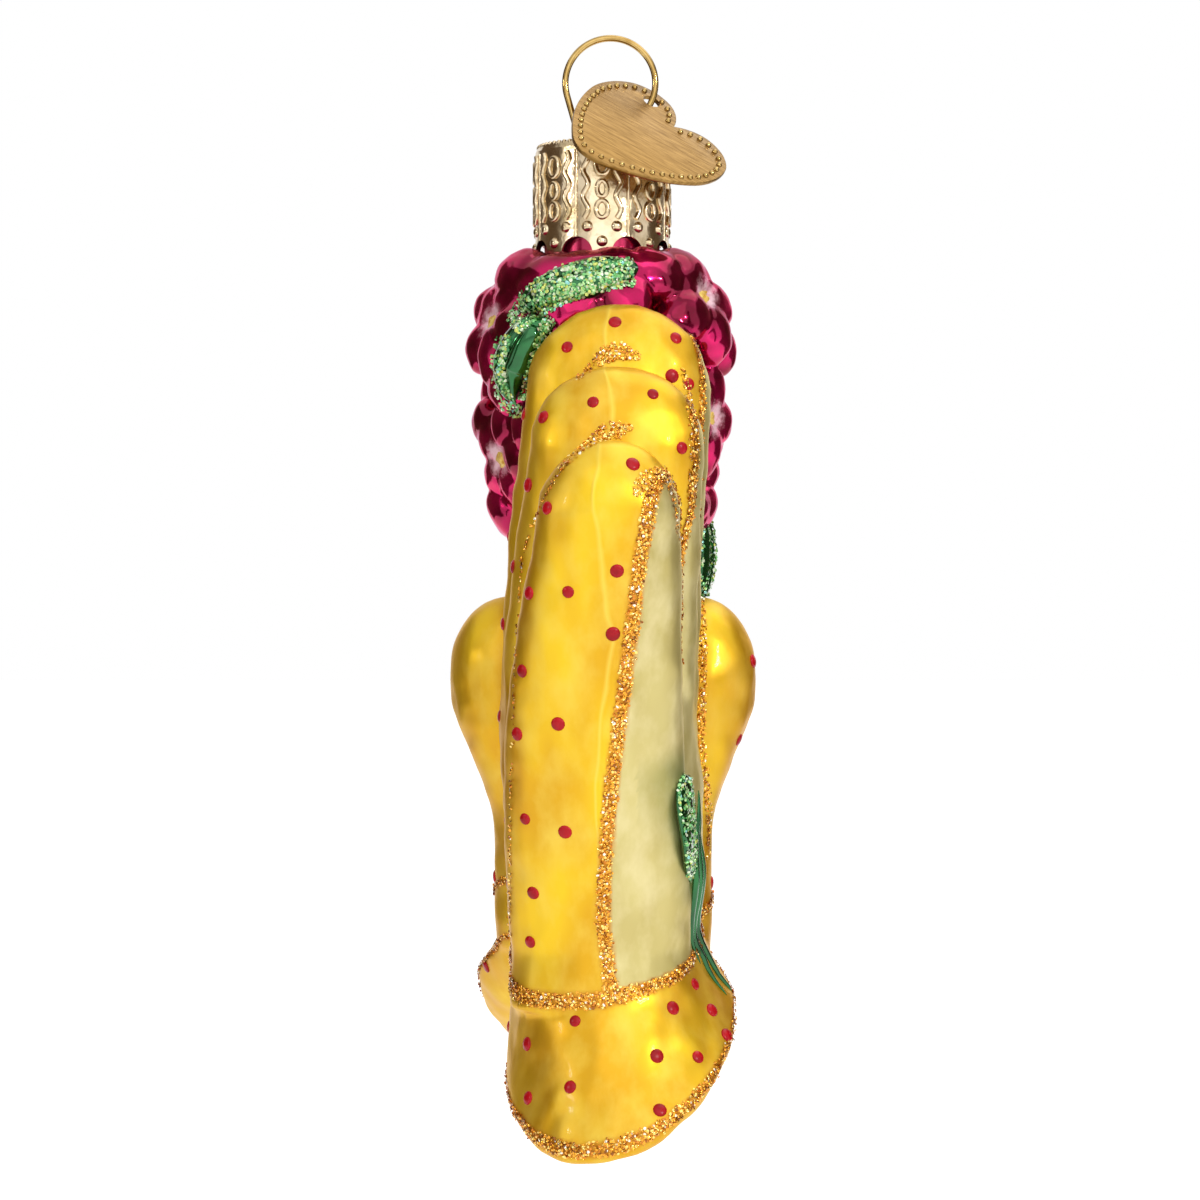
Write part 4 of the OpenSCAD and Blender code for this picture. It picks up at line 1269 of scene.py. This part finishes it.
brass, tree, shader = new_material("polished_brass", Metallic=1.0)
draw = noise(tree, object_space(tree), 900, 3.0)
two_tone(tree, shader, draw, (0.3, 0.7), linear(192, 162, 102), linear(160, 128, 70), (0.06, 0.14))
bump(tree, shader, noise(tree, object_space(tree), 3000, 2.0), 0.06, 0.03 * MM)
settle(wire, brass, "hanger", ["hanger_wire"], angle=60)

# %% [markdown]
# The cap is pressed from thin sheet. The solid has its panels, scallops and beads, so it stays, and the fine
# relief is added: two wavy raised lines and three plain rings on each panel. One panel is modelled, each line
# swept as the wire was, and copied round the cap. A bump could draw the lines too, but it has no outline.

# %% Relief of the cap
CAP_R = 6.0
PANELS = 8
WAVE_TURN = 14.0
WAVE_SWING = 2.2
WAVE_COUNT = 2.6
WAVE_Z = (-10.6, -16.6)
PROUD = 0.02
RINGS = ((-11.9, 5.6, 0.85), (-14.0, 4.2, 0.7), (-15.8, 5.0, 0.75))


def round_cap(turn, z, out=0.0):
    a = math.radians(turn)
    return Vector((AXIS_X + (CAP_R + out) * math.cos(a), (CAP_R + out) * math.sin(a), z)) * MM


panel_parts = []
for side in (-1, 1):
    wave = []
    for t in np.linspace(0, 1, 46):
        turn = side * WAVE_TURN + WAVE_SWING * math.sin(t * WAVE_COUNT * 2 * math.pi)
        wave.append(round_cap(turn, lerp(*WAVE_Z, t), PROUD))
    panel_parts.append(swept_line("raised_line", wave, 0.26, 2))
for z, wide, tall in RINGS:
    turns = np.linspace(0, 2 * math.pi, 25)
    oval = [round_cap(wide * math.cos(a), z + tall * math.sin(a), PROUD) for a in turns]
    panel_parts.append(swept_line("raised_line", oval, 0.23, 2))
panel = join("panel", panel_parts)
panel_places = [about_axis(2 * math.pi * k / PANELS) for k in range(PANELS)]
cap_relief = join("crown_cap_relief", copies_of(panel, panel_places))
print("relief faces", len(cap_relief.data.polygons))

# %% [markdown]
# A punch presses beads into the top edge of the cap: domes with a flat, slightly spread foot. One bead is cut
# from a sphere by a bisect, and copies of it go round the edge. The cap, its relief and its beads share a
# pale gold plate with cloudy tarnish and shallow dents. The cap's own object keeps its mesh, and only the
# material in its slot is changed.

# %% Beads of the top edge and the finish of the cap
TOP_BEADS = 60
TOP_BEAD_R = 0.22
TOP_BEAD_Z = -9.66
TOP_BEAD_IN = -0.32
BEAD_FOOT = 0.6
FOOT_SPREAD = 1.15


def pressed_bead(radius):
    deselect()
    bpy.ops.mesh.primitive_ico_sphere_add(subdivisions=2, radius=radius, location=(0, 0, 0))
    bpy.ops.object.mode_set(mode="EDIT")
    foot = (0, 0, -BEAD_FOOT * radius)
    bpy.ops.mesh.bisect(plane_co=foot, plane_no=(0, 0, -1), use_fill=True, clear_outer=True)
    bpy.ops.transform.resize(value=(FOOT_SPREAD, FOOT_SPREAD, 1), center_override=foot)
    bpy.ops.object.mode_set(mode="OBJECT")
    return bpy.context.object


def dress(node, material):
    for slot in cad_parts[node].material_slots:
        slot.material = material


top_spots = [round_cap(360 * k / TOP_BEADS, TOP_BEAD_Z, TOP_BEAD_IN) for k in range(TOP_BEADS)]
top_places = [Matrix.Translation(spot) @ Matrix.Scale(MM, 4) for spot in top_spots]
cap_beads = join("crown_cap_beads", copies_of(pressed_bead(TOP_BEAD_R), top_places))

champagne, tree, shader = new_material("champagne_plate", Metallic=1.0)
tarnish = noise(tree, object_space(tree), 420, 4.0)
two_tone(tree, shader, tarnish, (0.35, 0.75), linear(222, 202, 170), linear(176, 154, 112), (0.12, 0.28))
bump(tree, shader, noise(tree, object_space(tree), 520, 3.0), 0.6, 0.16 * MM)
dress("crown_cap", champagne)
settle(cap_relief, champagne, "hanger", angle=60)
settle(cap_beads, champagne, "hanger")

# %% [markdown]
# The heart tag is stamped from thin brass sheet and brushed. Half of its outline is a short list of points
# that a smooth curve joins, and the other half is its mirror. A circle with as many corners is laid on that
# outline, extruded to the sheet's thickness and bevelled. A boolean cylinder cuts the hole for the wire.

# %% Heart tag plate
TAG_W = 15.1
TAG_SIDE = TAG_W / (1 + math.sqrt(0.5))
TAG_T = 0.4
TAG_HOLE = Vector((-0.4 * TAG_SIDE, 1.39 * TAG_SIDE, 0))
TAG_HOLE_D = 1.6
TAG_ROLL = math.radians(26)
TAG_EDGE = 0.09
HALF_HEART = (
    (0.0, 11.8), (0.5, 12.6), (1.3, 13.4), (2.4, 13.95), (3.7, 14.0), (5.0, 13.6), (6.2, 12.6), (6.9, 11.1),
    (7.15, 9.5), (7.05, 8.0), (6.6, 6.5), (5.95, 5.0), (5.1, 3.5), (4.0, 2.0), (2.7, 0.6), (1.4, -0.5),
)
outline = HALF_HEART + ((0.0, -0.9),) + tuple((-x, y) for x, y in reversed(HALF_HEART[1:])) + HALF_HEART[:1]
heart = [Vector((x, y, 0)) for x, y in smooth_through(outline, 4)[:-1]]
tag_spot = Vector((LOOP_R * math.cos(TAG_ROLL), 0, CAP_TOP + LOOP_RISE - LOOP_R * math.sin(TAG_ROLL)))
tag_turn = Matrix.Rotation(math.radians(32), 4, "Z") @ Matrix.Rotation(math.radians(-44), 4, "X")
tag_turn = tag_turn @ Matrix.Rotation(math.radians(73), 4, "Y") @ Matrix.Rotation(math.pi / 2, 4, "X")
tag_turn = tag_turn @ Matrix.Rotation(math.radians(5), 4, "Z")
to_tag = Matrix.Scale(MM, 4) @ Matrix.Translation(tag_spot) @ tag_turn @ Matrix.Translation(-TAG_HOLE)

deselect()
bpy.ops.mesh.primitive_circle_add(vertices=len(heart), radius=1, fill_type="NGON", location=(0, 0, 0))
plate = bpy.context.object
for vertex, spot in zip(plate.data.vertices, heart):
    vertex.co = spot - Vector((0, 0, TAG_T / 2))
bpy.ops.object.mode_set(mode="EDIT")
bpy.ops.mesh.select_all(action="SELECT")
bpy.ops.mesh.extrude_region_move(TRANSFORM_OT_translate={"value": (0, 0, TAG_T)})
bpy.ops.mesh.select_all(action="SELECT")
bpy.ops.mesh.normals_make_consistent(inside=False)
bpy.ops.object.mode_set(mode="OBJECT")
finish_modifier(plate, "BEVEL", width=TAG_EDGE, segments=2, limit_method="ANGLE")
bpy.ops.mesh.primitive_cylinder_add(vertices=32, radius=TAG_HOLE_D / 2, depth=4, location=TAG_HOLE)
punch = bpy.context.object
finish_modifier(plate, "BOOLEAN", object=punch, operation="DIFFERENCE", solver="EXACT")
bpy.data.objects.remove(punch)
plate.data.transform(to_tag)
plate.name = "heart_tag_plate"
print("tag plate faces", len(plate.data.polygons))

# %% [markdown]
# A row of small beads is pressed along the edge of the plate. The row follows the outline, moved inwards,
# and the beads stand at even steps along it. The plate is brushed one way, so its noise is stretched along
# that way in the plate's own turn. The raised beads miss the brush and stay polished, as the wire is.

# %% Beads of the heart tag
TAG_INSET = 0.72
TAG_BEADS = 44
TAG_BEAD_R = 0.27
inner = []
for k, spot in enumerate(heart):
    along = heart[(k + 1) % len(heart)] - heart[k - 1]
    inner.append(spot + Vector((along.y, -along.x, 0)).normalized() * TAG_INSET)
inner = inner[2:-1]
length = np.concatenate(([0], np.cumsum([(b - a).length for a, b in zip(inner, inner[1:])])))
marks = np.linspace(0, length[-1], TAG_BEADS)
edge = [Vector([np.interp(m, length, [p[k] for p in inner]) for k in range(2)] + [TAG_T / 2]) for m in marks]
tag_bead_places = [to_tag @ Matrix.Translation(spot) for spot in edge]
tag_beads = join("heart_tag_beads", copies_of(pressed_bead(TAG_BEAD_R), tag_bead_places))

brushed, tree, shader = new_material("brushed_gold", Metallic=1.0, Anisotropic=0.5)
brush_turn = tag_turn.inverted().to_euler()
strokes = noise(tree, object_space(tree, (60, 900, 60), tuple(brush_turn)), 9.0, 4.0, 0.6)
two_tone(tree, shader, strokes, (0.3, 0.7), linear(160, 126, 72), linear(122, 91, 46), (0.26, 0.42))
bump(tree, shader, strokes, 0.25, 0.03 * MM)
settle(plate, brushed, "tag", ["heart_tag"], angle=40)
settle(tag_beads, brass, "tag")

# %% [markdown]
# The neck of the glass is inside the cap and shows when the glass is pulled off. It keeps its solid and gets
# the maroon coat that has run up it, thinner and more uneven than on the petals.

# %% Neck of the glass
neck_coat, tree, shader = new_material("neck_coat", Metallic=0.7, Coat_Weight=0.5, Coat_Roughness=0.08)
runs = noise(tree, object_space(tree, (1, 1, 0.3)), 420, 4.0)
two_tone(tree, shader, runs, (0.35, 0.7), linear(190, 14, 78), linear(140, 8, 56), (0.1, 0.3))
bump(tree, shader, runs, 0.2, 0.08 * MM)
dress("glass_neck", neck_coat)
print("neck coat nodes", len(tree.nodes))

# %% [markdown]
# The stage is a pale floor under a white surround. The camera, metal and glass see both at their full white,
# while the light that they cast on matt surfaces is weaker, so that pale lacquer doesn't wash out. The floor
# keeps the ornament's soft shadow.

# %% Floor and world
FLOOR_Z = -0.125
WORLD_LIGHT = 0.36
FLOOR_GLOW = 0.75


def seen_rays(tree):
    rays = tree.nodes.new("ShaderNodeLightPath")
    seen = rays.outputs["Is Camera Ray"]
    for kind in ("Is Glossy Ray", "Is Transmission Ray"):
        seen = math_of(tree, "MAXIMUM", seen, rays.outputs[kind])
    return seen


deselect()
bpy.ops.mesh.primitive_plane_add(size=4, location=(0, 0.6, FLOOR_Z))
floor = bpy.context.object
floor.name = "pale_floor"
floor_paint, tree, shader = new_material("pale_floor_paint", Roughness=0.9)
shader.inputs["Base Color"].default_value = (0.93, 0.93, 0.93, 1)
shader.inputs["Emission Color"].default_value = (1, 1, 1, 1)
tree.links.new(spread(tree, seen_rays(tree), 0, 1, 0, FLOOR_GLOW), shader.inputs["Emission Strength"])
floor.data.materials.append(floor_paint)

world = bpy.data.worlds.new("white_surround")
bpy.context.scene.world = world
world.use_nodes = True
tree = world.node_tree
background = tree.nodes["Background"]
background.inputs["Color"].default_value = (1, 1, 1, 1)
tree.links.new(spread(tree, seen_rays(tree), 0, 1, WORLD_LIGHT, 1.0), background.inputs["Strength"])
print("floor at", FLOOR_Z, "m")

# %% [markdown]
# A wide lamp in front and one from above model the form, a small lamp at each side gives the crisp highlights
# of polished glass, and two from behind draw bright rims. Brown cards at the sides, which the camera doesn't
# see, give the metal and the pearl their dark edges, as a photographer's black flags do.

# %% Lamps and cards
CARD_BROWN = linear(92, 72, 48)
LAMP_AIM = Vector((0, 0, -0.055))
CARD_AIM = Vector((0, 0, -0.05))
LAMPS = (
    ("front_lamp", (0.05, -0.48, 0.25), 0.6, 1.02),
    ("right_lamp", (0.30, -0.34, 0.10), 0.035, 0.5),
    ("left_lamp", (-0.34, -0.22, 0.06), 0.035, 0.14),
    ("top_lamp", (0.14, 0.07, 0.34), 0.36, 0.55),
    ("left_rim_lamp", (-0.25, 0.26, 0.05), 0.08, 0.14),
    ("right_rim_lamp", (0.25, 0.29, 0.05), 0.08, 0.12),
)
CARDS = (
    ("left_card", (-0.20, 0.06, -0.05), 0.30, 0.4),
    ("right_card", (0.22, 0.10, -0.05), 0.28, 0.4),
    ("left_front_card", (-0.22, -0.22, 0.0), 0.05, 0.3),
    ("right_front_card", (0.25, -0.19, 0.0), 0.06, 0.3),
)


def lamp(name, place, size, power):
    bpy.ops.object.light_add(type="AREA", location=place)
    made = bpy.context.object
    made.name = name
    made.data.size = size
    made.data.energy = power
    aim = LAMP_AIM - Vector(place)
    made.rotation_euler = aim.to_track_quat("-Z", "Y").to_euler()


def card(name, place, wide, tall):
    deselect()
    bpy.ops.mesh.primitive_plane_add(size=1, location=place)
    made = bpy.context.object
    made.name = name
    made.scale = (wide, tall, 1)
    aim = CARD_AIM - Vector(place)
    aim.z = 0
    made.rotation_euler = aim.to_track_quat("Z", "Y").to_euler()
    paint, _, shader = new_material(name + "_paint", Roughness=0.8)
    shader.inputs["Base Color"].default_value = CARD_BROWN
    made.data.materials.append(paint)
    made.visible_camera = False
    made.visible_shadow = False


for row in LAMPS:
    lamp(*row)
for row in CARDS:
    card(*row)
print("lamps", len(LAMPS), "cards", len(CARDS))

# %% [markdown]
# Last, the colours are shown with the Standard view transform.

# %% View transform
bpy.context.scene.view_settings.view_transform = "Standard"
